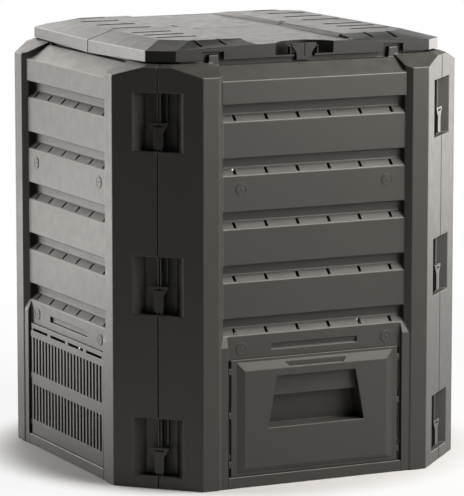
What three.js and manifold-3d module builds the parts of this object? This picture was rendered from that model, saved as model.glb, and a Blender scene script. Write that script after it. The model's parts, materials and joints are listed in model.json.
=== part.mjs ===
// Compost bin with lid: four louvred walls clipped together at the corners, hatches and grilles at their feet,
// and a lid in two leaves.
// Millimetres, +Z up, the front hatch faces -Y. The origin is on the ground under the middle of the bin.
import * as THREE from 'three';
import { mergeVertices } from 'three/addons/utils/BufferGeometryUtils.js';
import Module from 'manifold-3d';

const wasm = await Module();
wasm.setup();

// Whole bin
const BIN_HALF = 359.5;
const CORNER_LEG = 126;
const POST_HEIGHT = 767;
const SKIN = 3.5;
const SEAM_HALF_GAP = 0.8;
const FIT_GAP = 0.3;
const MERGE_TOLERANCE = 1e-5;
const CORNER_U = BIN_HALF - CORNER_LEG;
const SEAM_DEPTH = CORNER_LEG / 2;
const SEAM_U = BIN_HALF - SEAM_DEPTH;

// Corner posts
const POST_FACE_WIDTH = 33.5;
const POST_BEVEL_WIDTH = 11.5;
const POST_BEVEL_DEPTH = 10.5;
const SEAM_FLANGE_DEPTH = 27;
const POST_INNER_HALF = CORNER_U - POST_FACE_WIDTH;
const PANEL_HALF = POST_INNER_HALF - POST_BEVEL_WIDTH;

// Lid outline: a skirt, slopes above it and a flat top
const COLLAR_DEPTH = 64;
const LID_OVERHANG = 9.5;
const LID_RISE = 59;
const LID_SKIN = 3.2;
const LID_SLOPE_RUN = 52;
const LID_CROWN_HALF = 100;
const LID_CROWN_DROP = 7.5;
const LID_CORNER_DROP = 13.5;
const LID_SIDE_DROP = 14.5;
const LID_SEAM_DROP = 17;
const LID_SEAM_GAP = 2;
const COLLAR_CORNER_INSET = 80;
const LID_CORNER_STEP = 4;
const LID_FLAT_CORNER_STEP = 1;
const COLLAR_LEG = CORNER_LEG - COLLAR_CORNER_INSET;
const LID_LEG = COLLAR_LEG - LID_CORNER_STEP;
const LID_FLAT_LEG = LID_LEG + LID_FLAT_CORNER_STEP;
const LID_HALF = BIN_HALF - COLLAR_DEPTH + LID_OVERHANG;
const LID_FLAT_HALF = LID_HALF - LID_SLOPE_RUN;
const LID_TOP = POST_HEIGHT + LID_RISE;
const LID_CROWN_HEIGHT = LID_TOP - LID_CROWN_DROP;
const LID_SEAM_HEIGHT = LID_TOP - LID_SEAM_DROP;

// Roofs of the posts, shoulder and deck of the wall, and the collar that the lid rests on at its seam
const ROOF_SLOPE_SHARE = 0.385;
const CORNER_ROOF_RISE = 16;
const ROOF_CAP_RISE = 21.5;
const DECK_RISE = 16;
const SHOULDER_MARGIN = 12;
const CORNER_ROOF_HEIGHT = POST_HEIGHT + CORNER_ROOF_RISE;
const ROOF_CAP_HEIGHT = POST_HEIGHT + ROOF_CAP_RISE;
const DECK_HEIGHT = POST_HEIGHT + DECK_RISE;
const SHOULDER_DEPTH = COLLAR_DEPTH - SHOULDER_MARGIN;
const COLLAR_REST_SHARE = (LID_OVERHANG - LID_SKIN) / (LID_SLOPE_RUN - LID_SKIN / 2);
const COLLAR_TOP = LID_SEAM_HEIGHT - LID_SKIN + COLLAR_REST_SHARE * LID_SEAM_DROP - FIT_GAP;

// Lower edge of the skirt
const SKIRT_FRONT_GAP = 4;
const SKIRT_CORNER_GAP = 2.5;
const SKIRT_SEAM_GAP = 1.2;
const SKIRT_FRONT_BOTTOM = ROOF_CAP_HEIGHT + SKIRT_FRONT_GAP;
const SKIRT_CORNER_BOTTOM = ROOF_CAP_HEIGHT + SKIRT_CORNER_GAP;
const SKIRT_SEAM_BOTTOM = DECK_HEIGHT + SKIRT_SEAM_GAP;

// Framed opening at the foot of a wall, depths are behind the post faces
const SILL_DEPTH = 3;
const SILL_HEIGHT = 21;
const OPENING_MARGIN = 18.5;
const OPENING_HALF = PANEL_HALF - OPENING_MARGIN;
const OPENING_BOTTOM = 30;
const OPENING_TOP = 234;
const PLATE_HEIGHT = 51.7;
const PLATE_TOP = OPENING_TOP + PLATE_HEIGHT;
const STRIP_DEPTH = 2.5;
const STRIP_MARGIN = 7.5;
const STRIP_OVERLAP = 2;
const STRIP_DROP = 19.7;
const STRIP_INNER_HALF = PANEL_HALF - STRIP_MARGIN;
const STRIP_OUTER_HALF = POST_INNER_HALF - STRIP_OVERLAP;
const STRIP_TOP = PLATE_TOP - STRIP_DROP;

// Louvred middle of a wall
const PANEL_DEPTH = POST_BEVEL_DEPTH;
const FRAME_BACK = PANEL_DEPTH + SKIN;
const RAIL_DEPTH = 8;
const RAIL_DROP = 9;
const RAIL_TOP = POST_HEIGHT - RAIL_DROP;
const RECESS_STEP = 14;
const RECESS_DEPTH = PANEL_DEPTH + RECESS_STEP;
const LOUVRE_COUNT = 5;
const FIRST_LIP_DROP = 51.8;
const LIP_TO_BAND = 18.7;
const BAND_HEIGHT = 14;
const FIRST_LIP_HEIGHT = POST_HEIGHT - FIRST_LIP_DROP;
const LOUVRE_PITCH = (FIRST_LIP_HEIGHT - LIP_TO_BAND - BAND_HEIGHT - PLATE_TOP) / (LOUVRE_COUNT - 1);
const VENT_COUNT = 6;
const VENT_MARGIN = 26;
const VENT_PITCH = 2 * (PANEL_HALF - VENT_MARGIN) / (VENT_COUNT - 1);
const VENT_WIDTH = 5;
const VENT_HEIGHT = 9.5;

// Round marks below two of the bands, and the slot above the opening
const MARK_RADIUS = 12;
const MARK_RISE = 0.8;
const MARK_MARGIN = 37.5;
const MARK_DROP = 24.5;
const MARK_SIDES = 20;
const MARK_ROWS = [1, LOUVRE_COUNT - 1];
const MARK_OFFSET = PANEL_HALF - MARK_MARGIN;
const RECESS_SLOT_SHARE = 0.472;
const RECESS_SLOT_RISE = 21.5;
const RECESS_SLOT_HEIGHT = 10.5;
const RECESS_SLOT_DEPTH = 5;
const RECESS_SLOT_HALF = RECESS_SLOT_SHARE * PANEL_HALF;
const RECESS_SLOT_BOTTOM = OPENING_TOP + RECESS_SLOT_RISE;
const RECESS_SLOT_TOP = RECESS_SLOT_BOTTOM + RECESS_SLOT_HEIGHT;

// Hooks that hold the hatch and grille panels, and their slots
const HOOK_END_RISE = 8;
const HOOK_END_DROP = 20;
const HOOK_HEIGHT_SHARES = [0, 0.53, 1];
const HOOK_NECK = 5;
const HOOK_TIP_DROP = 7;
const HOOK_THICKNESS = 5.1;
const HOOK_GAP = 0.4;
const HOOK_OVERLAP = 4;
const HOOK_SIDE_GAP = 2.4;
const HOOK_SLOT_RISE = 25.5;
const LIFT_SLANT_DEG = 25;
const HOOK_LOWEST = OPENING_BOTTOM + HOOK_END_RISE;
const HOOK_HIGHEST = OPENING_TOP - HOOK_END_DROP;
const HOOK_HEIGHTS = HOOK_HEIGHT_SHARES.map((share) => HOOK_LOWEST + share * (HOOK_HIGHEST - HOOK_LOWEST));
const HOOK_FRONT_DEPTH = FRAME_BACK + HOOK_GAP;
const HOOK_BACK_DEPTH = HOOK_FRONT_DEPTH + HOOK_THICKNESS;
const HOOK_INNER_HALF = OPENING_HALF - HOOK_OVERLAP;
const HOOK_OUTER_HALF = STRIP_INNER_HALF - HOOK_SIDE_GAP;

// Clip pockets across each corner, sizes along and behind the corner face
const POCKET_COUNT = 3;
const POCKET_HEIGHT = 108;
const POCKET_FOOT_MARGIN = 24;
const POCKET_TOP_MARGIN = 30;
const POCKET_HALF = 49.5;
const POCKET_SLANT = 19.5;
const POCKET_DEPTH = 22;
const POCKET_FLOOR_HALF = POCKET_HALF - POCKET_SLANT;
const POCKET_SPAN = POST_HEIGHT - POCKET_FOOT_MARGIN - POCKET_TOP_MARGIN - POCKET_HEIGHT;
const POCKET_BOTTOMS = [];
for (let i = 0; i < POCKET_COUNT; i += 1) {
  POCKET_BOTTOMS.push(POCKET_FOOT_MARGIN + POCKET_SPAN * i / (POCKET_COUNT - 1));
}
const RAIL_STEM_HALF = 4.2;
const RAIL_HEAD_OVERHANG = 2.4;
const RAIL_HEAD_HALF = RAIL_STEM_HALF + RAIL_HEAD_OVERHANG;
const RAIL_FRONT_DEPTH = 8.5;
const RAIL_HEAD_THICKNESS = 3;
const RAIL_HEAD_HEIGHT = 54;
const POCKET_RIB_INNER = 11;
const POCKET_RIB_WIDTH = 4.5;
const POCKET_RIB_RISE = 7;

// Corner clips
const CLIP_CLEARANCE = 0.4;
const CLIP_SIDE = 2.2;
const CLIP_FACE = 3.4;
const CLIP_HEIGHT = 49;
const CLIP_BASE_RISE = 4;
const CLIP_HEAD_HALF = 18.5;
const CLIP_HEAD_EDGE = 4;
const CLIP_HEAD_HEIGHT = 18;
const CLIP_FOOT_CORNER = 3;
const CLIP_SLOT_HALF = 9;
const CLIP_SLOT_DROP = 4.5;
const CLIP_SLOT_HEIGHT = 3;

// Flange shared by the hatch and grille panels
const FLANGE_OVERLAP = 4;
const FLANGE_TOP_OVERLAP = 7;
const FLANGE_THICKNESS = 3.5;
const FLANGE_GAP = 0.7;
const EAR_WIDTH = 5;
const EAR_HEIGHT = 12;
const FLANGE_HALF = OPENING_HALF + FLANGE_OVERLAP;
const FLANGE_BOTTOM = SILL_HEIGHT + FIT_GAP;
const FLANGE_TOP = OPENING_TOP + FLANGE_TOP_OVERLAP;
const FLANGE_HEIGHT = FLANGE_TOP - FLANGE_BOTTOM;
const FLANGE_BACK_DEPTH = PANEL_DEPTH - FLANGE_GAP;
const FLANGE_FRONT_DEPTH = FLANGE_BACK_DEPTH - FLANGE_THICKNESS;
const EAR_OUTER_HALF = FLANGE_HALF + EAR_WIDTH;

// Hatch panel: a bevelled block on the flange, with a finger groove and a grip recess
const HATCH_FACE_RISE = 5.8;
const HATCH_SKIN = 3;
const BEVEL_MARGIN = 11;
const BEVEL_SIDE = 15;
const BEVEL_FOOT_MARGIN = 5.7;
const BEVEL_FOOT = 10;
const BEVEL_TOP_MARGIN = 5;
const BEVEL_TOP = 16.5;
const GROOVE_HALF_SHARE = 0.362;
const GROOVE_DROP = 20;
const GROOVE_DEPTH = 4.1;
const GROOVE_CORNER = 8;
const GRIP_BOTTOM_SHARE = 0.4;
const GRIP_STEP_SHARE = 0.663;
const GRIP_TOP_SHARE = 0.841;
const GRIP_TOP_HALF_SHARE = 0.471;
const GRIP_BOTTOM_HALF_SHARE = 0.575;
const GRIP_UPPER_DEPTH = 15;
const GRIP_LOWER_DEPTH = 40;
const HATCH_FACE_DEPTH = FLANGE_FRONT_DEPTH - HATCH_FACE_RISE;
const BEVEL_OUTER_HALF = FLANGE_HALF - BEVEL_MARGIN;
const BEVEL_INNER_HALF = BEVEL_OUTER_HALF - BEVEL_SIDE;
const BEVEL_OUTER_BOTTOM = FLANGE_BOTTOM + BEVEL_FOOT_MARGIN;
const BEVEL_INNER_BOTTOM = BEVEL_OUTER_BOTTOM + BEVEL_FOOT;
const BEVEL_OUTER_TOP = FLANGE_TOP - BEVEL_TOP_MARGIN;
const BEVEL_INNER_TOP = BEVEL_OUTER_TOP - BEVEL_TOP;
const GROOVE_HALF = GROOVE_HALF_SHARE * FLANGE_HALF;
const GROOVE_BOTTOM = FLANGE_TOP - GROOVE_DROP;
const GROOVE_FLOOR_DEPTH = HATCH_FACE_DEPTH + GROOVE_DEPTH;
const GRIP_BOTTOM = FLANGE_BOTTOM + GRIP_BOTTOM_SHARE * FLANGE_HEIGHT;
const GRIP_STEP = FLANGE_BOTTOM + GRIP_STEP_SHARE * FLANGE_HEIGHT;
const GRIP_TOP = FLANGE_BOTTOM + GRIP_TOP_SHARE * FLANGE_HEIGHT;
const GRIP_TOP_HALF = GRIP_TOP_HALF_SHARE * FLANGE_HALF;
const GRIP_BOTTOM_HALF = GRIP_BOTTOM_HALF_SHARE * FLANGE_HALF;

// Grille panel: two rows of upright slots with a crossbar between them, and dashes above
const BAR_SLOT_COUNT = 22;
const BAR_MARGIN = 12.3;
const BAR_SLOT_SHARE = 0.505;
const BAR_FOOT_MARGIN = 16.7;
const BAR_TOP_MARGIN = 28;
const CROSSBAR_HEIGHT = 14;
const CROSSBAR_SHARE = 0.481;
const DASH_COUNT = 4;
const DASH_GAP = 16.5;
const DASH_HEIGHT = 5;
const DASH_DROP = 12;
const BAR_SLOT_PITCH = 2 * (FLANGE_HALF - BAR_MARGIN) / (BAR_SLOT_COUNT - 1);
const BAR_SLOT_WIDTH = BAR_SLOT_SHARE * BAR_SLOT_PITCH;
const CROSSBAR_MIDDLE = FLANGE_BOTTOM + CROSSBAR_SHARE * FLANGE_HEIGHT;
const BAR_ROWS = [
  [FLANGE_BOTTOM + BAR_FOOT_MARGIN, CROSSBAR_MIDDLE - CROSSBAR_HEIGHT / 2],
  [CROSSBAR_MIDDLE + CROSSBAR_HEIGHT / 2, FLANGE_TOP - BAR_TOP_MARGIN],
];
const DASH_PITCH = 2 * FLANGE_HALF / DASH_COUNT;
const DASH_LENGTH = DASH_PITCH - DASH_GAP;
const DASH_MIDDLE_HEIGHT = FLANGE_TOP - DASH_DROP;

// Lowered middle, slots and grooves of the lid
const CHANNEL_TOP_HALF = 106;
const CHANNEL_SIDE_RUN = 8;
const CHANNEL_SEAM_DROP = 5;
const CHANNEL_END_DROP = 7;
const TOP_SLOT_START_SHARE = 0.381;
const TOP_SLOT_END_SHARE = 0.939;
const TOP_SLOT_WIDTH = 13;
const TOP_SLOT_ROW_SHARES = [-0.711, -0.494, -0.277, 0.095, 0.387, 0.68, 0.949];
const SLOPE_GROOVE_SHARES = [0.403, 0.601, 0.798];
const SLOPE_GROOVE_WIDTH = 7;
const SLOPE_GROOVE_MARGIN = 17;
const SLOPE_GROOVE_OVERLAP = 4;
const CHANNEL_FLOOR_HALF = CHANNEL_TOP_HALF - CHANNEL_SIDE_RUN;
const TOP_SLOT_SPAN = LID_FLAT_HALF - CHANNEL_TOP_HALF;
const TOP_SLOT_INNER = CHANNEL_TOP_HALF + TOP_SLOT_START_SHARE * TOP_SLOT_SPAN;
const TOP_SLOT_OUTER = CHANNEL_TOP_HALF + TOP_SLOT_END_SHARE * TOP_SLOT_SPAN;

// Lid lugs on the deck and their notches in the skirt
const LUG_MARGIN = 2;
const LUG_FOOT_HALF = 11;
const LUG_HEAD_HALF = 9.3;
const LUG_HEIGHT = 19.3;
const NOTCH_SIDE_GAP = 9.5;
const NOTCH_TOP_GAP = 5.7;
const LUG_OFFSET = PANEL_HALF - LUG_MARGIN;
const LUG_DEPTH = COLLAR_DEPTH - LID_OVERHANG;
const LUG_TOP = DECK_HEIGHT + LUG_HEIGHT;
const SIDE_LUG_TOP = SKIRT_SEAM_BOTTOM + SKIRT_SEAM_GAP;
const NOTCH_HALF = LUG_FOOT_HALF + NOTCH_SIDE_GAP;
const NOTCH_TOP = LUG_TOP + NOTCH_TOP_GAP;

// Lid hinge behind the seam
const HINGE_MARGIN = 9;
const HINGE_Y = 20;
const HINGE_DROP = 7.5;
const HINGE_ARM_WIDTH = 6;
const HINGE_EYE_RADIUS = 6;
const HINGE_PIN_RADIUS = 2.5;
const HINGE_LUG_THICKNESS = 4;
const HINGE_SIDE_GAP = 0.6;
const HINGE_ARM_FRONT = 26;
const HINGE_ARM_DROP = 15;
const HINGE_NECK_BELOW = 5;
const HINGE_NECK_ABOVE = 3;
const HINGE_WINDOW_MARGIN = 1.6;
const HINGE_SIDES = 20;
const HINGE_OFFSET = CHANNEL_TOP_HALF + HINGE_MARGIN;
const HINGE_Z = LID_TOP - HINGE_DROP;
const HINGE_ARM_BOTTOM = LID_TOP - HINGE_ARM_DROP;

// Finger cup in the front edge of the lid
const CUP_HALF = 60;
const CUP_DEPTH = 39;
const CUP_SILL = 4.5;
const CUP_SKIN = 2.5;
const CUP_SIDES = 64;
const CUP_FLOOR = SKIRT_FRONT_BOTTOM + CUP_SILL;
const CUP_HEIGHT = LID_CROWN_HEIGHT - CUP_FLOOR;

// Dip of the collar under the cup, with the keeper that the latch snaps under
const DIP_SIDE_GAP = 7;
const DIP_GAP = 1;
const KEEPER_HALF = 11;
const KEEPER_HEIGHT = 3;
const DIP_HALF = CUP_HALF + DIP_SIDE_GAP;
const DIP_HEIGHT = CUP_FLOOR - CUP_SKIN - DIP_GAP;
const KEEPER_BOTTOM = DIP_HEIGHT - KEEPER_HEIGHT;

// Latch in the cup
const LATCH_SETBACK = 1;
const LATCH_THICKNESS = 3.5;
const LATCH_PIVOT_DEPTH = 5.5;
const LATCH_HEAD_HALF = 25;
const LATCH_STEM_HALF = 16;
const LATCH_PIVOT_SHARE = 0.512;
const LATCH_TOP_SHARE = 0.93;
const LATCH_NECK_SHARE = 0.1;
const LATCH_SHOULDER_SHARE = 0.7;
const LATCH_BARREL_RADIUS = 3;
const LATCH_PIN_RADIUS = 2.2;
const LATCH_PIN_END = 1;
const LATCH_SIDE_GAP = 1.5;
const LATCH_LUG_THICKNESS = 3;
const LATCH_LUG_HALF_DEPTH = 5;
const LATCH_NOSE_HALF = 10;
const LATCH_NOSE_HEIGHT = 4;
const LATCH_CATCH = 1.4;
const LATCH_KEEPER_GAP = 1.5;
const LATCH_NOSE_GAP = 0.5;
const LATCH_GROOVE_WIDTH = 3;
const LATCH_GROOVE_DEPTH = 1.2;
const LATCH_GROOVE_RISE = 8;
const LATCH_SIDES = 16;
const STEM_SLOT_GAP = 5;
const STEM_SLOT_DEPTH = 15;
const LATCH_FACE_Y = LATCH_SETBACK - LID_HALF;
const LATCH_PIVOT_Y = LATCH_FACE_Y + LATCH_PIVOT_DEPTH;
const LATCH_PIVOT_Z = CUP_FLOOR + LATCH_PIVOT_SHARE * CUP_HEIGHT;
const LATCH_TOP = CUP_FLOOR + LATCH_TOP_SHARE * CUP_HEIGHT;
const LATCH_NECK = CUP_FLOOR + LATCH_NECK_SHARE * CUP_HEIGHT;
const LATCH_SHOULDER = CUP_FLOOR + LATCH_SHOULDER_SHARE * CUP_HEIGHT;
const LATCH_BOTTOM = KEEPER_BOTTOM - LATCH_NOSE_GAP - LATCH_NOSE_HEIGHT;
const LATCH_LUG_INNER = LATCH_HEAD_HALF + LATCH_SIDE_GAP;
const LATCH_PIN_HALF = LATCH_LUG_INNER + LATCH_LUG_THICKNESS + LATCH_PIN_END;
const STEM_SLOT_HALF = LATCH_STEM_HALF + STEM_SLOT_GAP;
const KEEPER_RISE = LID_OVERHANG - LATCH_SETBACK - LATCH_THICKNESS - LATCH_KEEPER_GAP;

// Boolean helpers

function toSolid(geometry) {
  const bare = geometry.index ? geometry.toNonIndexed() : geometry;
  bare.deleteAttribute('normal');
  bare.deleteAttribute('uv');
  const merged = mergeVertices(bare, MERGE_TOLERANCE);
  return new wasm.Manifold(new wasm.Mesh({
    numProp: 3,
    vertProperties: Float32Array.from(merged.attributes.position.array),
    triVerts: Uint32Array.from(merged.index.array),
  }));
}

function toGeometry(solid) {
  const mesh = solid.getMesh();
  const geometry = new THREE.BufferGeometry();
  geometry.setAttribute('position', new THREE.BufferAttribute(Float32Array.from(mesh.vertProperties), 3));
  geometry.setIndex(Array.from(mesh.triVerts));
  return geometry;
}

function addAll(solids) {
  return solids.reduce((whole, solid) => whole.add(solid));
}

function cutAll(solid, cutters) {
  return cutters.reduce((rest, cutter) => rest.subtract(cutter), solid);
}

function extrude(points, length, matrix) {
  const shape = new THREE.Shape(points.map(([x, y]) => new THREE.Vector2(x, y)));
  const geometry = new THREE.ExtrudeGeometry(shape, { depth: length, bevelEnabled: false });
  return toSolid(geometry.applyMatrix4(matrix));
}

// Plan outline [x, y] raised from z0 to z1.
function prism(points, z0, z1) {
  return extrude(points, z1 - z0, new THREE.Matrix4().makeTranslation(0, 0, z0));
}

// Outline [y, z] carried along X from x0 to x1.
function along(points, x0, x1) {
  const matrix = new THREE.Matrix4().set(0, 0, 1, x0, 1, 0, 0, 0, 0, 1, 0, 0, 0, 0, 0, 1);
  return extrude(points, x1 - x0, matrix);
}

// Outline [x, z] carried along Y from y0 to y1.
function across(points, y0, y1) {
  const matrix = new THREE.Matrix4().set(1, 0, 0, 0, 0, 0, -1, y1, 0, 1, 0, 0, 0, 0, 0, 1);
  return extrude(points, y1 - y0, matrix);
}

function box(x0, x1, y0, y1, z0, z1) {
  return prism([[x0, y0], [x1, y0], [x1, y1], [x0, y1]], z0, z1);
}

// Bar along X with a round section.
function rod(x0, x1, y, z, radius, sides) {
  const section = [];
  for (let i = 0; i < sides; i += 1) {
    const angle = (i + 0.5) * 2 * Math.PI / sides;
    section.push([y + radius * Math.cos(angle), z + radius * Math.sin(angle)]);
  }
  return along(section, x0, x1);
}

function centreOf(ring) {
  return [0, 1, 2].map((axis) => ring.reduce((sum, point) => sum + point[axis], 0) / ring.length);
}

// Closed body through rings of equally many [x, y, z] points, each ring anticlockwise seen from the last one.
function loft(rings) {
  const count = rings[0].length;
  const positions = [];
  const triangle = (a, b, c) => positions.push(...a, ...b, ...c);
  for (let level = 0; level + 1 < rings.length; level += 1) {
    for (let i = 0; i < count; i += 1) {
      const next = (i + 1) % count;
      triangle(rings[level][i], rings[level][next], rings[level + 1][next]);
      triangle(rings[level][i], rings[level + 1][next], rings[level + 1][i]);
    }
  }
  const first = rings[0];
  const last = rings[rings.length - 1];
  for (let i = 0; i < count; i += 1) {
    const next = (i + 1) % count;
    triangle(centreOf(first), first[next], first[i]);
    triangle(centreOf(last), last[i], last[next]);
  }
  const geometry = new THREE.BufferGeometry();
  geometry.setAttribute('position', new THREE.Float32BufferAttribute(positions, 3));
  return toSolid(geometry);
}

// The path moved sideways to its left, with mitred corners.
function leftOf(path, distance) {
  const normals = [];
  for (let i = 0; i + 1 < path.length; i += 1) {
    const dx = path[i + 1][0] - path[i][0];
    const dy = path[i + 1][1] - path[i][1];
    const length = Math.hypot(dx, dy);
    normals.push([-dy / length, dx / length]);
  }
  return path.map(([x, y], i) => {
    const before = normals[Math.max(i - 1, 0)];
    const after = normals[Math.min(i, normals.length - 1)];
    const spread = 1 + before[0] * after[0] + before[1] * after[1];
    return [x + distance * (before[0] + after[0]) / spread, y + distance * (before[1] + after[1]) / spread];
  });
}

// Outline of a sheet of the given thickness on the left of a path.
function sheet(path, thickness) {
  return [...path, ...leftOf(path, thickness).reverse()];
}

function turned(solid, quarter) {
  return solid.rotate([0, 0, quarter * 90]);
}

// Wall frame: u runs along the wall, depth runs inwards from the post faces.
function wallY(depth) {
  return depth - BIN_HALF;
}

function planPoints(points, side) {
  return points.map(([u, depth]) => [side * u, wallY(depth)]);
}

function profilePoints(points) {
  return points.map(([depth, z]) => [wallY(depth), z]);
}

// Corner frame: a runs along the corner face from the seam, e runs behind that face.
function cornerPoints(points) {
  return points.map(([a, e]) => [SEAM_U + (a - e) * Math.SQRT1_2, SEAM_DEPTH + (a + e) * Math.SQRT1_2]);
}

// One wall
function lipHeight(row) {
  return FIRST_LIP_HEIGHT - row * LOUVRE_PITCH;
}

function bandBottom(row) {
  return lipHeight(row) - LIP_TO_BAND - BAND_HEIGHT;
}

function wallSection() {
  const path = [
    [COLLAR_DEPTH + SKIN, DECK_HEIGHT],
    [SHOULDER_DEPTH, DECK_HEIGHT],
    [RAIL_DEPTH, RAIL_TOP],
    [RAIL_DEPTH, FIRST_LIP_HEIGHT],
  ];
  for (let row = 0; row < LOUVRE_COUNT; row += 1) {
    if (row > 0) path.push([PANEL_DEPTH, lipHeight(row)]);
    path.push([RECESS_DEPTH, lipHeight(row)]);
    path.push([RECESS_DEPTH, lipHeight(row) - LIP_TO_BAND]);
    path.push([PANEL_DEPTH, bandBottom(row)]);
  }
  path.push([PANEL_DEPTH, SILL_HEIGHT], [SILL_DEPTH, SILL_HEIGHT], [SILL_DEPTH, 0]);
  return path;
}

// Space under the roof of a post: it slopes up behind the wall face and behind the corner face to a level cap.
function roofSpace(side) {
  const reach = BIN_HALF;
  const slopeTo = (base, from) => [
    [from, 0], [reach, 0], [reach, base + ROOF_SLOPE_SHARE * reach], [from, base + ROOF_SLOPE_SHARE * from],
  ];
  const behindCorner = along(slopeTo(CORNER_ROOF_HEIGHT, -reach), -reach, reach)
    .rotate([0, 0, side * 45])
    .translate([side * SEAM_U, wallY(SEAM_DEPTH), 0]);
  return along(profilePoints(slopeTo(POST_HEIGHT, -SKIN)), -reach, reach)
    .intersect(behindCorner)
    .intersect(box(-reach, reach, wallY(-SKIN), 0, 0, ROOF_CAP_HEIGHT));
}

function post(side) {
  const seam = [SEAM_U, SEAM_DEPTH];
  const [flangeEnd] = cornerPoints([[0, SEAM_FLANGE_DEPTH]]);
  const outerPath = [[PANEL_HALF, PANEL_DEPTH], [POST_INNER_HALF, 0], [CORNER_U, 0], seam];
  const shellPath = [[PANEL_HALF, RECESS_DEPTH + SKIN], ...outerPath, flangeEnd];
  const collarInner = leftOf(collarPath(), SKIN);
  const roofPlan = [[PANEL_HALF, COLLAR_DEPTH + SKIN], ...outerPath, collarInner[3], collarInner[2]];
  const cheek = [
    [PANEL_DEPTH, RAIL_TOP - SKIN],
    [SHOULDER_DEPTH, DECK_HEIGHT - SKIN],
    [COLLAR_DEPTH + SKIN, DECK_HEIGHT - SKIN],
    [COLLAR_DEPTH + SKIN, LID_TOP],
    [PANEL_DEPTH, LID_TOP],
  ];
  const cheekEnds = [side * PANEL_HALF, side * (PANEL_HALF + SKIN)];
  const space = roofSpace(side);
  const roof = prism(planPoints(roofPlan, side), 0, LID_TOP).intersect(space);
  return prism(planPoints(sheet(shellPath, SKIN), side), 0, LID_TOP).intersect(space)
    .add(roof.subtract(space.translate([0, 0, -SKIN])))
    .add(along(profilePoints(cheek), Math.min(...cheekEnds), Math.max(...cheekEnds)).intersect(roof));
}

function collarPath() {
  const straight = BIN_HALF - COLLAR_DEPTH - COLLAR_LEG;
  const middle = BIN_HALF - COLLAR_DEPTH - COLLAR_LEG / 2;
  const inset = COLLAR_DEPTH + COLLAR_LEG / 2;
  return [[-middle, inset], [-straight, COLLAR_DEPTH], [straight, COLLAR_DEPTH], [middle, inset]];
}

function strip(side) {
  const facePath = [[PANEL_DEPTH, PLATE_TOP], [STRIP_DEPTH, STRIP_TOP], [STRIP_DEPTH, 0]];
  const cheek = [[FRAME_BACK, 0], [FRAME_BACK, PLATE_TOP], ...facePath];
  const inner = side * STRIP_INNER_HALF;
  const cheekEnd = side * (STRIP_INNER_HALF + SKIN);
  const outer = side * STRIP_OUTER_HALF;
  return along(profilePoints(sheet(facePath, SKIN)), Math.min(inner, outer), Math.max(inner, outer))
    .add(along(profilePoints(cheek), Math.min(inner, cheekEnd), Math.max(inner, cheekEnd)));
}

function pocketBody(side, bottom) {
  const outline = [
    [-POCKET_HALF - SKIN, SKIN / 2],
    [-POCKET_FLOOR_HALF - SKIN, POCKET_DEPTH + SKIN],
    [0, POCKET_DEPTH + SKIN],
    [0, SKIN / 2],
  ];
  return prism(planPoints(cornerPoints(outline), side), bottom - SKIN, bottom + POCKET_HEIGHT + SKIN);
}

function pocketHollow(side, bottom) {
  const outline = [
    [-POCKET_HALF, -POCKET_DEPTH],
    [-POCKET_HALF, 0],
    [-POCKET_FLOOR_HALF, POCKET_DEPTH],
    [POCKET_DEPTH, POCKET_DEPTH],
    [POCKET_DEPTH, -POCKET_DEPTH],
  ];
  return prism(planPoints(cornerPoints(outline), side), bottom, bottom + POCKET_HEIGHT);
}

// Half of the T rail that the clip grips, with its head in the lower half of the pocket only.
function pocketRails(side, bottom) {
  const rootDepth = POCKET_DEPTH + SKIN / 2;
  const stem = [
    [-RAIL_STEM_HALF, rootDepth], [-RAIL_STEM_HALF, RAIL_FRONT_DEPTH], [0, RAIL_FRONT_DEPTH], [0, rootDepth],
  ];
  const headBack = RAIL_FRONT_DEPTH + RAIL_HEAD_THICKNESS;
  const head = [
    [-RAIL_HEAD_HALF, headBack], [-RAIL_HEAD_HALF, RAIL_FRONT_DEPTH], [0, RAIL_FRONT_DEPTH], [0, headBack],
  ];
  const top = bottom + POCKET_HEIGHT + SKIN / 2;
  const solids = [
    prism(planPoints(cornerPoints(stem), side), bottom - SKIN / 2, top),
    prism(planPoints(cornerPoints(head), side), bottom - SKIN / 2, bottom + RAIL_HEAD_HEIGHT),
  ];
  if (side < 0) {
    const ribOuter = POCKET_RIB_INNER + POCKET_RIB_WIDTH;
    const ribFront = POCKET_DEPTH - POCKET_RIB_RISE;
    const rib = [
      [-ribOuter, rootDepth], [-ribOuter, ribFront], [-POCKET_RIB_INNER, ribFront], [-POCKET_RIB_INNER, rootDepth],
    ];
    const ribBottom = bottom + CLIP_BASE_RISE + CLIP_HEIGHT + SKIN;
    solids.push(prism(planPoints(cornerPoints(rib), side), ribBottom, top));
  }
  return addAll(solids);
}

function lug(u, top) {
  const outline = [
    [u - LUG_FOOT_HALF, DECK_HEIGHT - SKIN / 2],
    [u + LUG_FOOT_HALF, DECK_HEIGHT - SKIN / 2],
    [u + LUG_HEAD_HALF, top],
    [u - LUG_HEAD_HALF, top],
  ];
  return across(outline, wallY(LUG_DEPTH), wallY(COLLAR_DEPTH + SKIN / 2));
}

function mark(u, z) {
  const outline = [];
  for (let i = 0; i < MARK_SIDES; i += 1) {
    const angle = i * 2 * Math.PI / MARK_SIDES;
    outline.push([u + MARK_RADIUS * Math.cos(angle), z + MARK_RADIUS * Math.sin(angle)]);
  }
  return across(outline, wallY(PANEL_DEPTH - MARK_RISE), wallY(PANEL_DEPTH + SKIN / 2));
}

function ventSlots() {
  const slots = [];
  for (let row = 0; row < LOUVRE_COUNT; row += 1) {
    const z = bandBottom(row) + BAND_HEIGHT / 2;
    for (let i = 0; i < VENT_COUNT; i += 1) {
      const u = (i - (VENT_COUNT - 1) / 2) * VENT_PITCH;
      slots.push(box(u - VENT_WIDTH / 2, u + VENT_WIDTH / 2, wallY(0), wallY(RECESS_DEPTH * 2),
        z - VENT_HEIGHT / 2, z + VENT_HEIGHT / 2));
    }
  }
  return slots;
}

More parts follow.
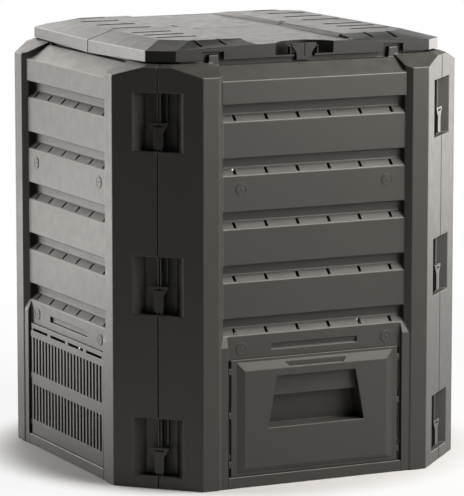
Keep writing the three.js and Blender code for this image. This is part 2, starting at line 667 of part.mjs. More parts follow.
function openingCuts() {
  const cuts = [
    box(-OPENING_HALF, OPENING_HALF, wallY(SILL_DEPTH), wallY(RECESS_DEPTH), OPENING_BOTTOM, OPENING_TOP),
  ];
  const inner = HOOK_INNER_HALF - 2 * FIT_GAP;
  const outer = HOOK_OUTER_HALF + 2 * FIT_GAP;
  for (const height of HOOK_HEIGHTS) {
    for (const u of [inner, -outer]) {
      cuts.push(box(u, u + outer - inner, wallY(FLANGE_FRONT_DEPTH), wallY(RECESS_DEPTH),
        height - FIT_GAP, height + HOOK_SLOT_RISE));
    }
  }
  return cuts;
}

function recessSlot(grow, front, back) {
  return box(-RECESS_SLOT_HALF - grow, RECESS_SLOT_HALF + grow, wallY(front), wallY(back),
    RECESS_SLOT_BOTTOM - grow, RECESS_SLOT_TOP + grow);
}

function buildWall(lugTop) {
  const sides = [-1, 1];
  const panelEnd = PANEL_HALF + SKIN / 2;
  const solids = [
    along(profilePoints(sheet(wallSection(), SKIN)), -panelEnd, panelEnd),
    prism(planPoints(sheet(collarPath(), SKIN), 1), DECK_HEIGHT - SKIN / 2, COLLAR_TOP),
    recessSlot(SKIN, PANEL_DEPTH + SKIN / 2, PANEL_DEPTH + RECESS_SLOT_DEPTH + SKIN),
    box(-KEEPER_HALF, KEEPER_HALF, wallY(COLLAR_DEPTH - KEEPER_RISE), wallY(COLLAR_DEPTH + SKIN / 2),
      KEEPER_BOTTOM, DIP_HEIGHT),
  ];
  for (const side of sides) {
    solids.push(post(side), strip(side), lug(side * LUG_OFFSET, lugTop));
    for (const row of MARK_ROWS) solids.push(mark(side * MARK_OFFSET, bandBottom(row) - MARK_DROP));
    for (const bottom of POCKET_BOTTOMS) solids.push(pocketBody(side, bottom));
  }
  const dip = box(-DIP_HALF, DIP_HALF, wallY(COLLAR_DEPTH - SKIN), wallY(COLLAR_DEPTH + 2 * SKIN),
    DIP_HEIGHT, LID_TOP);
  const cuts = [...ventSlots(), ...openingCuts(), dip, recessSlot(0, 0, PANEL_DEPTH + RECESS_SLOT_DEPTH)];
  for (const side of sides) {
    for (const bottom of POCKET_BOTTOMS) cuts.push(pocketHollow(side, bottom));
  }
  let wall = cutAll(addAll(solids), cuts);
  for (const side of sides) {
    for (const bottom of POCKET_BOTTOMS) wall = wall.add(pocketRails(side, bottom));
  }
  const seamShift = SEAM_HALF_GAP * Math.SQRT2;
  const reach = BIN_HALF * 2;
  const wedge = [[0, -seamShift], [-reach + seamShift, -reach], [reach - seamShift, -reach]];
  const sector = prism(wedge, 0, LID_TOP);
  return wall.intersect(sector);
}

// Clip on the seam between the front wall and the wall on its right
function buildClip() {
  const bottom = CLIP_BASE_RISE;
  const top = bottom + CLIP_HEIGHT;
  const innerHalf = RAIL_HEAD_HALF + CLIP_CLEARANCE;
  const outerHalf = innerHalf + CLIP_SIDE;
  const backOfFace = RAIL_FRONT_DEPTH - CLIP_CLEARANCE;
  const front = backOfFace - CLIP_FACE;
  const lipFront = RAIL_FRONT_DEPTH + RAIL_HEAD_THICKNESS + CLIP_CLEARANCE;
  const lipBack = lipFront + CLIP_FACE;
  const stemHalf = RAIL_STEM_HALF + CLIP_CLEARANCE;
  const channel = [
    [-outerHalf, front], [outerHalf, front], [outerHalf, lipBack], [stemHalf, lipBack],
    [stemHalf, lipFront], [innerHalf, lipFront], [innerHalf, backOfFace], [-innerHalf, backOfFace],
    [-innerHalf, lipFront], [-stemHalf, lipFront], [-stemHalf, lipBack], [-outerHalf, lipBack],
  ];
  const faceOutline = [
    [-outerHalf + CLIP_FOOT_CORNER, bottom], [outerHalf - CLIP_FOOT_CORNER, bottom],
    [outerHalf, bottom + CLIP_FOOT_CORNER], [outerHalf, top - CLIP_HEAD_HEIGHT],
    [CLIP_HEAD_HALF, top - CLIP_HEAD_EDGE], [CLIP_HEAD_HALF, top],
    [-CLIP_HEAD_HALF, top], [-CLIP_HEAD_HALF, top - CLIP_HEAD_EDGE],
    [-outerHalf, top - CLIP_HEAD_HEIGHT], [-outerHalf, bottom + CLIP_FOOT_CORNER],
  ];
  const slotTop = top - CLIP_SLOT_DROP;
  const slot = [
    [-CLIP_SLOT_HALF, slotTop - CLIP_SLOT_HEIGHT], [CLIP_SLOT_HALF, slotTop - CLIP_SLOT_HEIGHT],
    [CLIP_SLOT_HALF, slotTop], [-CLIP_SLOT_HALF, slotTop],
  ];
  const uprightTop = top - CLIP_SLOT_DROP - CLIP_SLOT_HEIGHT - CLIP_FACE / 2;
  const upright = prism(channel, bottom + CLIP_FOOT_CORNER, uprightTop);
  const face = across(faceOutline, front, backOfFace).subtract(across(slot, 0, RAIL_FRONT_DEPTH));
  const clip = upright.add(face);
  return clip.rotate([0, 0, 45]).translate([SEAM_U, wallY(SEAM_DEPTH), 0]);
}

// Hooks and ears of a hatch or grille panel
function hooks() {
  const slope = Math.tan(THREE.MathUtils.degToRad(LIFT_SLANT_DEG));
  const solids = [];
  for (const height of HOOK_HEIGHTS) {
    const outline = [
      [FLANGE_FRONT_DEPTH + FLANGE_THICKNESS / 2, height + HOOK_NECK],
      [HOOK_BACK_DEPTH, height + HOOK_NECK],
      [HOOK_BACK_DEPTH, height - HOOK_TIP_DROP],
      [HOOK_FRONT_DEPTH + slope * HOOK_TIP_DROP, height - HOOK_TIP_DROP],
      [HOOK_FRONT_DEPTH, height],
      [FLANGE_FRONT_DEPTH + FLANGE_THICKNESS / 2, height],
    ];
    solids.push(along(profilePoints(outline), HOOK_INNER_HALF, HOOK_OUTER_HALF));
    solids.push(along(profilePoints(outline), -HOOK_OUTER_HALF, -HOOK_INNER_HALF));
    solids.push(box(-EAR_OUTER_HALF, EAR_OUTER_HALF, wallY(FLANGE_FRONT_DEPTH),
      wallY(FLANGE_BACK_DEPTH), height, height + EAR_HEIGHT));
  }
  return addAll(solids);
}

function flange() {
  return box(-FLANGE_HALF, FLANGE_HALF, wallY(FLANGE_FRONT_DEPTH), wallY(FLANGE_BACK_DEPTH),
    FLANGE_BOTTOM, FLANGE_TOP);
}

// Bevelled block standing out of the flange, shrunk on every side for its hollow.
function hatchBlock(shrink) {
  const base = FLANGE_BACK_DEPTH + (shrink > 0 ? shrink : -FLANGE_THICKNESS / 2);
  const ring = (depth, half, bottom, top) => [
    [-half, wallY(depth), bottom], [half, wallY(depth), bottom],
    [half, wallY(depth), top], [-half, wallY(depth), top],
  ];
  return loft([
    ring(base, BEVEL_OUTER_HALF - shrink, BEVEL_OUTER_BOTTOM + shrink, BEVEL_OUTER_TOP - shrink),
    ring(FLANGE_FRONT_DEPTH, BEVEL_OUTER_HALF - shrink, BEVEL_OUTER_BOTTOM + shrink, BEVEL_OUTER_TOP - shrink),
    ring(HATCH_FACE_DEPTH + shrink, BEVEL_INNER_HALF - shrink / 2, BEVEL_INNER_BOTTOM + shrink / 2,
      BEVEL_INNER_TOP - shrink / 2),
  ]);
}

// Part of the grip's trapezoid between two heights, from one depth to another.
function gripBlock(bottom, top, grow, front, back) {
  const halfAt = (z) => {
    const share = (z - GRIP_BOTTOM) / (GRIP_TOP - GRIP_BOTTOM);
    return GRIP_BOTTOM_HALF + share * (GRIP_TOP_HALF - GRIP_BOTTOM_HALF) + grow;
  };
  const outline = [
    [-halfAt(bottom), bottom - grow], [halfAt(bottom), bottom - grow],
    [halfAt(top), top + grow], [-halfAt(top), top + grow],
  ];
  return across(outline, wallY(front), wallY(back));
}

function grooveBlock(grow, front, back) {
  const half = GROOVE_HALF + grow;
  const bottom = GROOVE_BOTTOM - grow;
  const outline = [
    [-half + GROOVE_CORNER, bottom], [half - GROOVE_CORNER, bottom],
    [half, bottom + GROOVE_CORNER], [half, FLANGE_TOP + grow],
    [-half, FLANGE_TOP + grow], [-half, bottom + GROOVE_CORNER],
  ];
  return across(outline, wallY(front), wallY(back));
}

function buildHatch() {
  const outer = hatchBlock(0);
  const upperFloor = HATCH_FACE_DEPTH + GRIP_UPPER_DEPTH;
  const lowerFloor = HATCH_FACE_DEPTH + GRIP_LOWER_DEPTH;
  const inside = HATCH_FACE_DEPTH + HATCH_SKIN / 2;
  const front = HATCH_FACE_DEPTH - HATCH_SKIN;
  const body = cutAll(flange().add(outer), [hatchBlock(HATCH_SKIN)])
    .add(gripBlock(GRIP_STEP, GRIP_TOP, HATCH_SKIN, inside, upperFloor + HATCH_SKIN))
    .add(gripBlock(GRIP_BOTTOM, GRIP_STEP, HATCH_SKIN, inside, lowerFloor + HATCH_SKIN))
    .add(grooveBlock(HATCH_SKIN, inside, FLANGE_BACK_DEPTH).intersect(outer))
    .add(hooks());
  return cutAll(body, [
    gripBlock(GRIP_BOTTOM, GRIP_TOP, 0, front, upperFloor),
    gripBlock(GRIP_BOTTOM, GRIP_STEP, 0, front, lowerFloor),
    grooveBlock(0, front, GROOVE_FLOOR_DEPTH),
  ]);
}

function buildGrille() {
  const y0 = wallY(0);
  const y1 = wallY(RECESS_DEPTH);
  const cuts = [];
  for (const [bottom, top] of BAR_ROWS) {
    for (let i = 0; i < BAR_SLOT_COUNT; i += 1) {
      const u = (i - (BAR_SLOT_COUNT - 1) / 2) * BAR_SLOT_PITCH;
      cuts.push(box(u - BAR_SLOT_WIDTH / 2, u + BAR_SLOT_WIDTH / 2, y0, y1, bottom, top));
    }
  }
  for (let i = 0; i < DASH_COUNT; i += 1) {
    const u = (i - (DASH_COUNT - 1) / 2) * DASH_PITCH;
    cuts.push(box(u - DASH_LENGTH / 2, u + DASH_LENGTH / 2, y0, y1,
      DASH_MIDDLE_HEIGHT - DASH_HEIGHT / 2, DASH_MIDDLE_HEIGHT + DASH_HEIGHT / 2));
  }
  return cutAll(flange(), cuts).add(hooks());
}

// Lid, cut from a block that reaches below the skirt
const LID_FOOT = SKIRT_SEAM_BOTTOM - 2 * LID_SKIN;

// Ring of the lid with cut corners; heights are at the crown, front corner, side corner and seam.
function lidRing(half, leg, [crown, corner, side, seam]) {
  const straight = half - leg;
  const quarterRing = [
    [LID_CROWN_HALF, -half, crown], [straight, -half, corner], [half, -straight, side], [half, 0, seam],
  ];
  const rearRing = quarterRing.slice(0, 3).reverse().map(([x, y, z]) => [x, -y, z]);
  const rightRing = [...quarterRing, ...rearRing];
  return [...rightRing, ...rightRing.map(([x, y, z]) => [-x, -y, z])];
}

// Space over the lowered middle of the lid, dropped and widened by grow for the inner face.
function channelSpace(grow) {
  const lift = LID_TOP + LID_SKIN;
  const spread = CHANNEL_SIDE_RUN / CHANNEL_SEAM_DROP;
  const floorHalf = CHANNEL_FLOOR_HALF + grow;
  const topHalf = floorHalf + spread * (LID_SKIN + CHANNEL_SEAM_DROP);
  const ring = (y) => {
    const share = Math.abs(y) / LID_HALF;
    const floor = LID_TOP - CHANNEL_SEAM_DROP - share * (CHANNEL_END_DROP - CHANNEL_SEAM_DROP) - grow;
    return [[-floorHalf, y, floor], [floorHalf, y, floor], [topHalf, y, lift], [-topHalf, y, lift]].reverse();
  };
  return loft([ring(-LID_HALF - LID_SKIN), ring(0), ring(LID_HALF + LID_SKIN)]);
}

function lidShell() {
  const bottom = [SKIRT_FRONT_BOTTOM, SKIRT_FRONT_BOTTOM, SKIRT_CORNER_BOTTOM, SKIRT_SEAM_BOTTOM];
  const edge = [LID_CROWN_HEIGHT, LID_TOP - LID_CORNER_DROP, LID_TOP - LID_SIDE_DROP, LID_SEAM_HEIGHT];
  const flat = [LID_TOP, LID_TOP, LID_TOP, LID_TOP];
  const lowered = (heights) => heights.map((height) => height - LID_SKIN);
  const outer = loft([
    lidRing(LID_HALF, LID_LEG, bottom),
    lidRing(LID_HALF, LID_LEG, edge),
    lidRing(LID_FLAT_HALF, LID_FLAT_LEG, flat),
  ]).subtract(channelSpace(0));
  const legInset = LID_SKIN * (2 - Math.SQRT2);
  const inner = loft([
    lidRing(LID_HALF - LID_SKIN, LID_LEG - legInset, lowered(bottom)),
    lidRing(LID_HALF - LID_SKIN, LID_LEG - legInset, lowered(edge)),
    lidRing(LID_FLAT_HALF - LID_SKIN / 2, LID_FLAT_LEG - legInset / 2, lowered(flat)),
  ]).subtract(channelSpace(LID_SKIN));
  return { outer, shell: outer.subtract(inner) };
}

function lidSlots() {
  const cuts = [];
  const z1 = LID_TOP + LID_SKIN;
  for (const share of TOP_SLOT_ROW_SHARES) {
    const y = share * LID_FLAT_HALF;
    for (const x of [TOP_SLOT_INNER, -TOP_SLOT_OUTER]) {
      const end = x + TOP_SLOT_OUTER - TOP_SLOT_INNER;
      cuts.push(box(x, end, y - TOP_SLOT_WIDTH / 2, y + TOP_SLOT_WIDTH / 2, LID_FOOT, z1));
    }
  }
  for (const share of SLOPE_GROOVE_SHARES) {
    for (const x of [-share * LID_FLAT_HALF, share * LID_FLAT_HALF]) {
      cuts.push(box(x - SLOPE_GROOVE_WIDTH / 2, x + SLOPE_GROOVE_WIDTH / 2, SLOPE_GROOVE_MARGIN - LID_HALF,
        SLOPE_GROOVE_OVERLAP - LID_FLAT_HALF, LID_FOOT, z1));
    }
  }
  return cuts;
}

function skirtNotches() {
  const cuts = [];
  for (const offset of [-LUG_OFFSET, LUG_OFFSET]) {
    const notch = box(offset - NOTCH_HALF, offset + NOTCH_HALF, -LID_HALF - LID_SKIN, -LID_HALF + 2 * LID_SKIN,
      LID_FOOT, NOTCH_TOP);
    cuts.push(notch, turned(notch, 2));
  }
  return cuts;
}

// Upright cylinder that forms the finger cup in the front edge.
function cupCylinder(grow, z0, z1) {
  const radius = (CUP_HALF * CUP_HALF + CUP_DEPTH * CUP_DEPTH) / (2 * CUP_DEPTH);
  const centreY = -LID_HALF + CUP_DEPTH - radius;
  const outline = [];
  for (let i = 0; i < CUP_SIDES; i += 1) {
    const angle = i * 2 * Math.PI / CUP_SIDES;
    outline.push([(radius + grow) * Math.cos(angle), centreY + (radius + grow) * Math.sin(angle)]);
  }
  return prism(outline, z0, z1);
}

function latchLug(side) {
  const inner = side * LATCH_LUG_INNER;
  const outer = side * (LATCH_LUG_INNER + LATCH_LUG_THICKNESS);
  return box(Math.min(inner, outer), Math.max(inner, outer), LATCH_PIVOT_Y - LATCH_LUG_HALF_DEPTH,
    LATCH_PIVOT_Y + LATCH_LUG_HALF_DEPTH, CUP_FLOOR - CUP_SKIN / 2, LATCH_PIVOT_Z + LATCH_LUG_HALF_DEPTH);
}

function hingeArm(x) {
  const half = HINGE_ARM_WIDTH / 2;
  const eye = rod(x - half, x + half, HINGE_Y, HINGE_Z, HINGE_EYE_RADIUS, HINGE_SIDES);
  const seam = LID_SEAM_GAP / 2;
  const outline = [
    [-HINGE_ARM_FRONT, HINGE_ARM_BOTTOM], [-seam * 2, HINGE_ARM_BOTTOM], [seam * 2, HINGE_Z - HINGE_NECK_BELOW],
    [HINGE_Y, HINGE_Z - HINGE_NECK_BELOW], [HINGE_Y, HINGE_Z + HINGE_NECK_ABOVE], [-seam, HINGE_Z + HINGE_NECK_ABOVE],
    [-seam, LID_TOP - LID_SKIN / 2], [-HINGE_ARM_FRONT, LID_TOP - LID_SKIN / 2],
  ];
  return along(outline, x - HINGE_ARM_WIDTH / 2, x + HINGE_ARM_WIDTH / 2).add(eye);
}

function hingeLugs(x) {
  const inner = HINGE_ARM_WIDTH / 2 + HINGE_SIDE_GAP;
  const radius = HINGE_EYE_RADIUS;
  const outline = [
    [HINGE_Y - radius, HINGE_Z - radius / 2],
    [HINGE_Y - radius / 2, HINGE_Z - radius],
    [HINGE_Y + radius / 2, HINGE_Z - radius],
    [HINGE_Y + radius, HINGE_Z - radius / 2],
    [HINGE_Y + radius, LID_TOP - LID_SKIN / 2],
    [HINGE_Y - radius, LID_TOP - LID_SKIN / 2],
  ];
  return along(outline, x + inner, x + inner + HINGE_LUG_THICKNESS)
    .add(along(outline, x - inner - HINGE_LUG_THICKNESS, x - inner));
}

function hingeWindow(x) {
  const half = HINGE_ARM_WIDTH / 2 + HINGE_SIDE_GAP;
  const y1 = HINGE_Y + HINGE_EYE_RADIUS + HINGE_WINDOW_MARGIN;
  return box(x - half, x + half, 0, y1, HINGE_ARM_BOTTOM, LID_TOP + LID_SKIN);
}

function hingeBore(x) {
  const half = HINGE_ARM_WIDTH + HINGE_LUG_THICKNESS;
  return rod(x - half, x + half, HINGE_Y, HINGE_Z, HINGE_PIN_RADIUS + FIT_GAP, HINGE_SIDES);
}

function buildHingePin(x) {
  const half = HINGE_ARM_WIDTH / 2 + HINGE_LUG_THICKNESS;
  return rod(x - half, x + half, HINGE_Y, HINGE_Z, HINGE_PIN_RADIUS, HINGE_SIDES);
}

function buildLid() {
  const { outer, shell } = lidShell();
  const cut = cutAll(shell, [...lidSlots(), ...skirtNotches()]);
  const reach = LID_HALF * 2;
  const z1 = LID_TOP + LID_SKIN;
  const seam = LID_SEAM_GAP / 2;
  const offsets = [-HINGE_OFFSET, HINGE_OFFSET];
  const frontHalf = cut.intersect(box(-reach, reach, -reach, -seam, LID_FOOT, z1));
  const rearHalf = cut.intersect(box(-reach, reach, seam, reach, LID_FOOT, z1));

  const cup = cupCylinder(CUP_SKIN, CUP_FLOOR - CUP_SKIN, z1).intersect(outer);
  const stemSlot = box(-STEM_SLOT_HALF, STEM_SLOT_HALF, -LID_HALF - LID_SKIN, -LID_HALF + STEM_SLOT_DEPTH,
    LID_FOOT, CUP_FLOOR);
  let front = cutAll(frontHalf.add(cup), [cupCylinder(0, CUP_FLOOR, z1), stemSlot]);
  front = addAll([front, latchLug(-1), latchLug(1), ...offsets.map(hingeArm)]);
  const boreHalf = LATCH_PIN_HALF + LATCH_LUG_THICKNESS;
  const boreRadius = LATCH_PIN_RADIUS + FIT_GAP;
  front = front.subtract(rod(-boreHalf, boreHalf, LATCH_PIVOT_Y, LATCH_PIVOT_Z, boreRadius, LATCH_SIDES));
  front = cutAll(front, offsets.map(hingeBore));

  let rear = cutAll(rearHalf, offsets.map(hingeWindow));
  rear = addAll([rear, ...offsets.map(hingeLugs)]);
  rear = cutAll(rear, offsets.map(hingeBore));
  return { front, rear };
}

function buildLatch() {
  const outline = [
    [-LATCH_STEM_HALF, LATCH_BOTTOM], [LATCH_STEM_HALF, LATCH_BOTTOM],
    [LATCH_STEM_HALF, LATCH_NECK], [LATCH_HEAD_HALF, LATCH_SHOULDER],
    [LATCH_HEAD_HALF, LATCH_TOP], [-LATCH_HEAD_HALF, LATCH_TOP],
    [-LATCH_HEAD_HALF, LATCH_SHOULDER], [-LATCH_STEM_HALF, LATCH_NECK],
  ];
  const back = LATCH_FACE_Y + LATCH_THICKNESS;
  return across(outline, LATCH_FACE_Y, back)
    .add(rod(-LATCH_HEAD_HALF, LATCH_HEAD_HALF, LATCH_PIVOT_Y, LATCH_PIVOT_Z, LATCH_BARREL_RADIUS, LATCH_SIDES))
    .add(rod(-LATCH_PIN_HALF, LATCH_PIN_HALF, LATCH_PIVOT_Y, LATCH_PIVOT_Z, LATCH_PIN_RADIUS, LATCH_SIDES))
    .add(box(-LATCH_NOSE_HALF, LATCH_NOSE_HALF, LATCH_FACE_Y, back + LATCH_KEEPER_GAP + LATCH_CATCH, LATCH_BOTTOM,
      LATCH_BOTTOM + LATCH_NOSE_HEIGHT))
    .subtract(box(-LATCH_GROOVE_WIDTH / 2, LATCH_GROOVE_WIDTH / 2, LATCH_FACE_Y - LATCH_THICKNESS,
      LATCH_FACE_Y + LATCH_GROOVE_DEPTH, LATCH_BOTTOM + LATCH_GROOVE_RISE, LATCH_TOP + LATCH_THICKNESS));
}

// Assembly

const wallColour = new THREE.Color(0x4a4a48);
const lidColour = new THREE.Color(0x4d4c49);
const panelColour = new THREE.Color(0x464542);
const clipColour = new THREE.Color(0x3c3c3b);
const pinColour = new THREE.Color(0x2e2e2e);

const group = new THREE.Group();

function addPart(name, solid, color, roughness) {
  const material = new THREE.MeshStandardMaterial({ color, roughness, metalness: 0 });
  const mesh = new THREE.Mesh(toGeometry(solid), material);
  mesh.name = name;
  group.add(mesh);
}

// Quarter turns that carry the front wall to each side of the bin.
const SIDES = [['front', 0], ['right', 1], ['rear', 2], ['left', 3]];
const CORNERS = ['front_right', 'rear_right', 'rear_left', 'front_left'];
const LEVELS = ['low', 'middle', 'high'];

const endWall = buildWall(LUG_TOP);
const sideWall = buildWall(SIDE_LUG_TOP);
const hatch = buildHatch();
const grille = buildGrille();
const clip = buildClip();
const lid = buildLid();

for (const [name, quarter] of SIDES) {
  const wall = quarter % 2 === 0 ? endWall : sideWall;
  addPart(`wall_${name}`, turned(wall, quarter), wallColour, 0.5);
}
addPart('hatch_front', hatch, panelColour, 0.5);
addPart('hatch_rear', turned(hatch, 2), panelColour, 0.5);
addPart('grille_left', turned(grille, 3), panelColour, 0.5);
addPart('grille_right', turned(grille, 1), panelColour, 0.5);
CORNERS.forEach((corner, quarter) => {
  LEVELS.forEach((level, i) => {
    const placed = turned(clip, quarter).translate([0, 0, POCKET_BOTTOMS[i]]);
    addPart(`clip_${corner}_${level}`, placed, clipColour, 0.45);
  });
});
addPart('lid_front', lid.front, lidColour, 0.5);
addPart('lid_rear', lid.rear, lidColour, 0.5);
addPart('lid_hinge_pin_left', buildHingePin(-HINGE_OFFSET), pinColour, 0.4);
addPart('lid_hinge_pin_right', buildHingePin(HINGE_OFFSET), pinColour, 0.4);
addPart('lid_latch', buildLatch(), clipColour, 0.45);

export default group;
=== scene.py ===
# %% [markdown]
# # A compost bin with a lid, dressed for its picture
# The bin is moulded in grey plastic: four louvred walls clipped together at cut-off corners, a hatch or a grille at
# the foot of each wall, and a lid in two leaves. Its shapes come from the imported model. This script adds what a
# solid model leaves out: the small radius on every edge, the raised rings on the walls, the grain and wear of the
# plastic, and a studio with a camera.

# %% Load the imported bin
import json
import math

import bmesh
import bpy
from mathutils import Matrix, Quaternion, Vector
from mathutils.bvhtree import BVHTree

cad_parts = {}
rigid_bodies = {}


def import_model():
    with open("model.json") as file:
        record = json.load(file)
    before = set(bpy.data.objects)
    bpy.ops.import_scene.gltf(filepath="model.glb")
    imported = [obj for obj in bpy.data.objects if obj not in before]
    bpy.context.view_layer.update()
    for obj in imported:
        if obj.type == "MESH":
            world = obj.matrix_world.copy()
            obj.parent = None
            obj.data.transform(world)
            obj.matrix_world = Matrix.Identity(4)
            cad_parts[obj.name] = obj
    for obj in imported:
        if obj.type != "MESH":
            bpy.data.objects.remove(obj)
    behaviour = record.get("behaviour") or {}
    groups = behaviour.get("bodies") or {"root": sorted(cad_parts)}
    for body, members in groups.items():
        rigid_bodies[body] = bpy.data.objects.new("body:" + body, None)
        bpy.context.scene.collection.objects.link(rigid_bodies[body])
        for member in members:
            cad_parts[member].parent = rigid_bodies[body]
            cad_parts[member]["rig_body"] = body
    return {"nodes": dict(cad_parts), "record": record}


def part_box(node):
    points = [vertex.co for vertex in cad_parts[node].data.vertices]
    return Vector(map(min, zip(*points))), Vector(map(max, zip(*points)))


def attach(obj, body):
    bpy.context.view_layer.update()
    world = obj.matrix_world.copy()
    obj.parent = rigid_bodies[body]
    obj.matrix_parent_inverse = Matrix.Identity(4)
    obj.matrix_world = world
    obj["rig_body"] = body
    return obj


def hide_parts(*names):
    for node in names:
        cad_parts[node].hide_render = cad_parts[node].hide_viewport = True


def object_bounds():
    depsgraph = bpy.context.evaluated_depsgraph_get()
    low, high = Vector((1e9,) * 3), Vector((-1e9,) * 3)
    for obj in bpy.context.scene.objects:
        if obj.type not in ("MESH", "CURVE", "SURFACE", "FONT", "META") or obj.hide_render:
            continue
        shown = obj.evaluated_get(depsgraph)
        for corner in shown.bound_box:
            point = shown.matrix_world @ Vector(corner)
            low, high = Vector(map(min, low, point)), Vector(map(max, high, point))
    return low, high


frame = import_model()
cad_low, cad_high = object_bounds()
bin_size = cad_high - cad_low
print("the bin measures", [round(1000 * side) for side in bin_size], "mm")

# %% [markdown]
# ## Where the photographer stood
# The lines of the bin in the photograph give the camera: it stands about 6.7 m away, a little to the left and just
# above the lid, with a long lens. A camera could be placed by hand and judged by eye, but a fit on the corners of
# the bin is exact to a pixel. The lens is worked out from a focal length in pixels, because that is what such a fit
# gives.

# %% Camera
IMAGE_WIDTH = 464
IMAGE_HEIGHT = 496
FOCAL_PIXELS = 3477.9
CAMERA_PLACE = Vector((-2.90987, -6.02314, 1.4502))
CAMERA_TURN = 0.4498
CAMERA_TILT = 0.1573
SENSOR_WIDTH = 36.0

camera_data = bpy.data.cameras.new("studio_camera")
camera_data.sensor_width = SENSOR_WIDTH
camera_data.lens = FOCAL_PIXELS * SENSOR_WIDTH / max(IMAGE_WIDTH, IMAGE_HEIGHT)
camera_data.clip_start = 0.1
camera_data.clip_end = 100.0
camera = bpy.data.objects.new("studio_camera", camera_data)
bpy.context.scene.collection.objects.link(camera)
looking = Vector((
    math.sin(CAMERA_TURN) * math.cos(CAMERA_TILT),
    math.cos(CAMERA_TURN) * math.cos(CAMERA_TILT),
    -math.sin(CAMERA_TILT),
))
camera.location = CAMERA_PLACE
camera.rotation_mode = "QUATERNION"
camera.rotation_quaternion = looking.to_track_quat("-Z", "Y")
bpy.context.scene.camera = camera
bpy.context.scene.view_settings.view_transform = "Standard"
print("lens:", round(camera_data.lens, 1), "mm, distance:", round(CAMERA_PLACE.length, 2), "m")

# %% [markdown]
# ## Writing a material as sums
# A material is a tree of nodes. Placing each node by hand hides the idea, so a small class wraps one socket and
# lets Python's own signs add the Math nodes: `1 - mask * 0.3` becomes two of them. Every other node comes from one
# method, `add`, that takes the node's type, its settings and its sockets. Plain numbers are worked out in Python
# and never become nodes.

# %% Sockets that can be added and multiplied
class Wire:
    """One output socket of a material, which takes part in sums."""

    def __init__(self, finish, socket):
        self.finish = finish
        self.socket = socket

    def sum(self, operation, first, second):
        return self.finish.add("ShaderNodeMath", {"operation": operation}, {0: first, 1: second})

    def __add__(self, other):
        return self.sum("ADD", self, other)

    def __radd__(self, other):
        return self.sum("ADD", other, self)

    def __sub__(self, other):
        return self.sum("SUBTRACT", self, other)

    def __rsub__(self, other):
        return self.sum("SUBTRACT", other, self)

    def __mul__(self, other):
        return self.sum("MULTIPLY", self, other)

    def __rmul__(self, other):
        return self.sum("MULTIPLY", other, self)


class Finish:
    """A material being built, with one method that adds any node."""

    def __init__(self, name, tree=None):
        self.material = None
        if tree is None:
            self.material = bpy.data.materials.new(name)
            self.material.use_nodes = True
            tree = self.material.node_tree
        self.tree = tree
        self.tree.nodes.clear()

    def add(self, kind, settings=None, sockets=None, output=0):
        node = self.tree.nodes.new(kind)
        for setting, value in (settings or {}).items():
            if setting == "stops":
                ramp = node.color_ramp.elements
                while len(ramp) < len(value):
                    ramp.new(1.0)
                for stop, (place, level) in zip(ramp, value):
                    stop.position = place
                    stop.color = (level, level, level, 1.0)
            else:
                setattr(node, setting, value)
        for socket, value in (sockets or {}).items():
            if isinstance(value, Wire):
                self.tree.links.new(value.socket, node.inputs[socket])
            else:
                node.inputs[socket].default_value = value
        return Wire(self, node.outputs[output]) if len(node.outputs) else node


print("the helpers for materials are ready")

# %% [markdown]
# ## The plastic
# All pieces are moulded in dark grey, slightly warm plastic with a satin skin. Seen close, it is not one flat
# colour: the steel of the mould left a fine grain, the melt left long pale flow marks, handling has scuffed it and
# rubbed the edges smoother, and a film of dust lies on what faces up. The rounded edges are also painted lighter,
# a painted highlight, and pockets and the places under a lip are painted darker, a painted shade. Each of these is
# a small layer here. An image could carry them, but it would have to be wrapped round each moulding; noise in the
# object's own coordinates has the same scale on all of them.
#
# The sizes are in metres: a grain of 0.9 mm, flow marks of some 200 mm.

# %% The layers of the plastic
GRAIN_SIZE = 0.0009
MOTTLE_SIZE = 0.022
FLOW_SIZE = 0.21
SCUFF_LENGTH = 0.05
SCUFF_WIDTH = 0.0016
SCUFF_TURN = (0.35, 0.2, 0.6)
SCUFF_PATCH = 0.09
FEW_STROKES = [(0.66, 0.0), (0.72, 1.0)]
SOME_PATCHES = [(0.52, 0.0), (0.66, 1.0)]


def surface_place(finish):
    return finish.add("ShaderNodeTexCoord", output="Object")


def noise(finish, place, size, detail=2.0, roughness=0.5, distortion=0.0):
    sockets = {"Vector": place, "Scale": 1.0 / size, "Detail": detail, "Roughness": roughness,
               "Distortion": distortion}
    return finish.add("ShaderNodeTexNoise", {"noise_dimensions": "3D"}, sockets)


def scuffs(finish, place):
    """Short pale strokes that lie flat and up the bin's sides."""
    stretched = finish.add("ShaderNodeMapping", {"vector_type": "POINT"}, {
        "Vector": place,
        "Rotation": SCUFF_TURN,
        "Scale": (1.0 / SCUFF_LENGTH, 1.0 / SCUFF_WIDTH, 1.0 / SCUFF_LENGTH),
    })
    streaks = finish.add("ShaderNodeTexNoise", {"noise_dimensions": "3D"},
                         {"Vector": stretched, "Scale": 1.0, "Detail": 1.0, "Roughness": 0.4})
    lines = finish.add("ShaderNodeValToRGB", {"stops": FEW_STROKES}, {"Fac": streaks})
    patches = finish.add("ShaderNodeValToRGB", {"stops": SOME_PATCHES}, {"Fac": noise(finish, place, SCUFF_PATCH)})
    return lines * patches


def mesh_mask(finish, name):
    return finish.add("ShaderNodeAttribute", {"attribute_type": "GEOMETRY", "attribute_name": name}, output="Fac")


def tint(colour, share):
    return tuple(channel * share for channel in colour) + (1.0,)


def blend_colours(finish, mask, first, second):
    return finish.add("ShaderNodeMix", {"data_type": "RGBA"}, {0: mask, 6: first, 7: second}, output=2)


print("grain", 1000 * GRAIN_SIZE, "mm, flow marks", round(1000 * FLOW_SIZE), "mm")
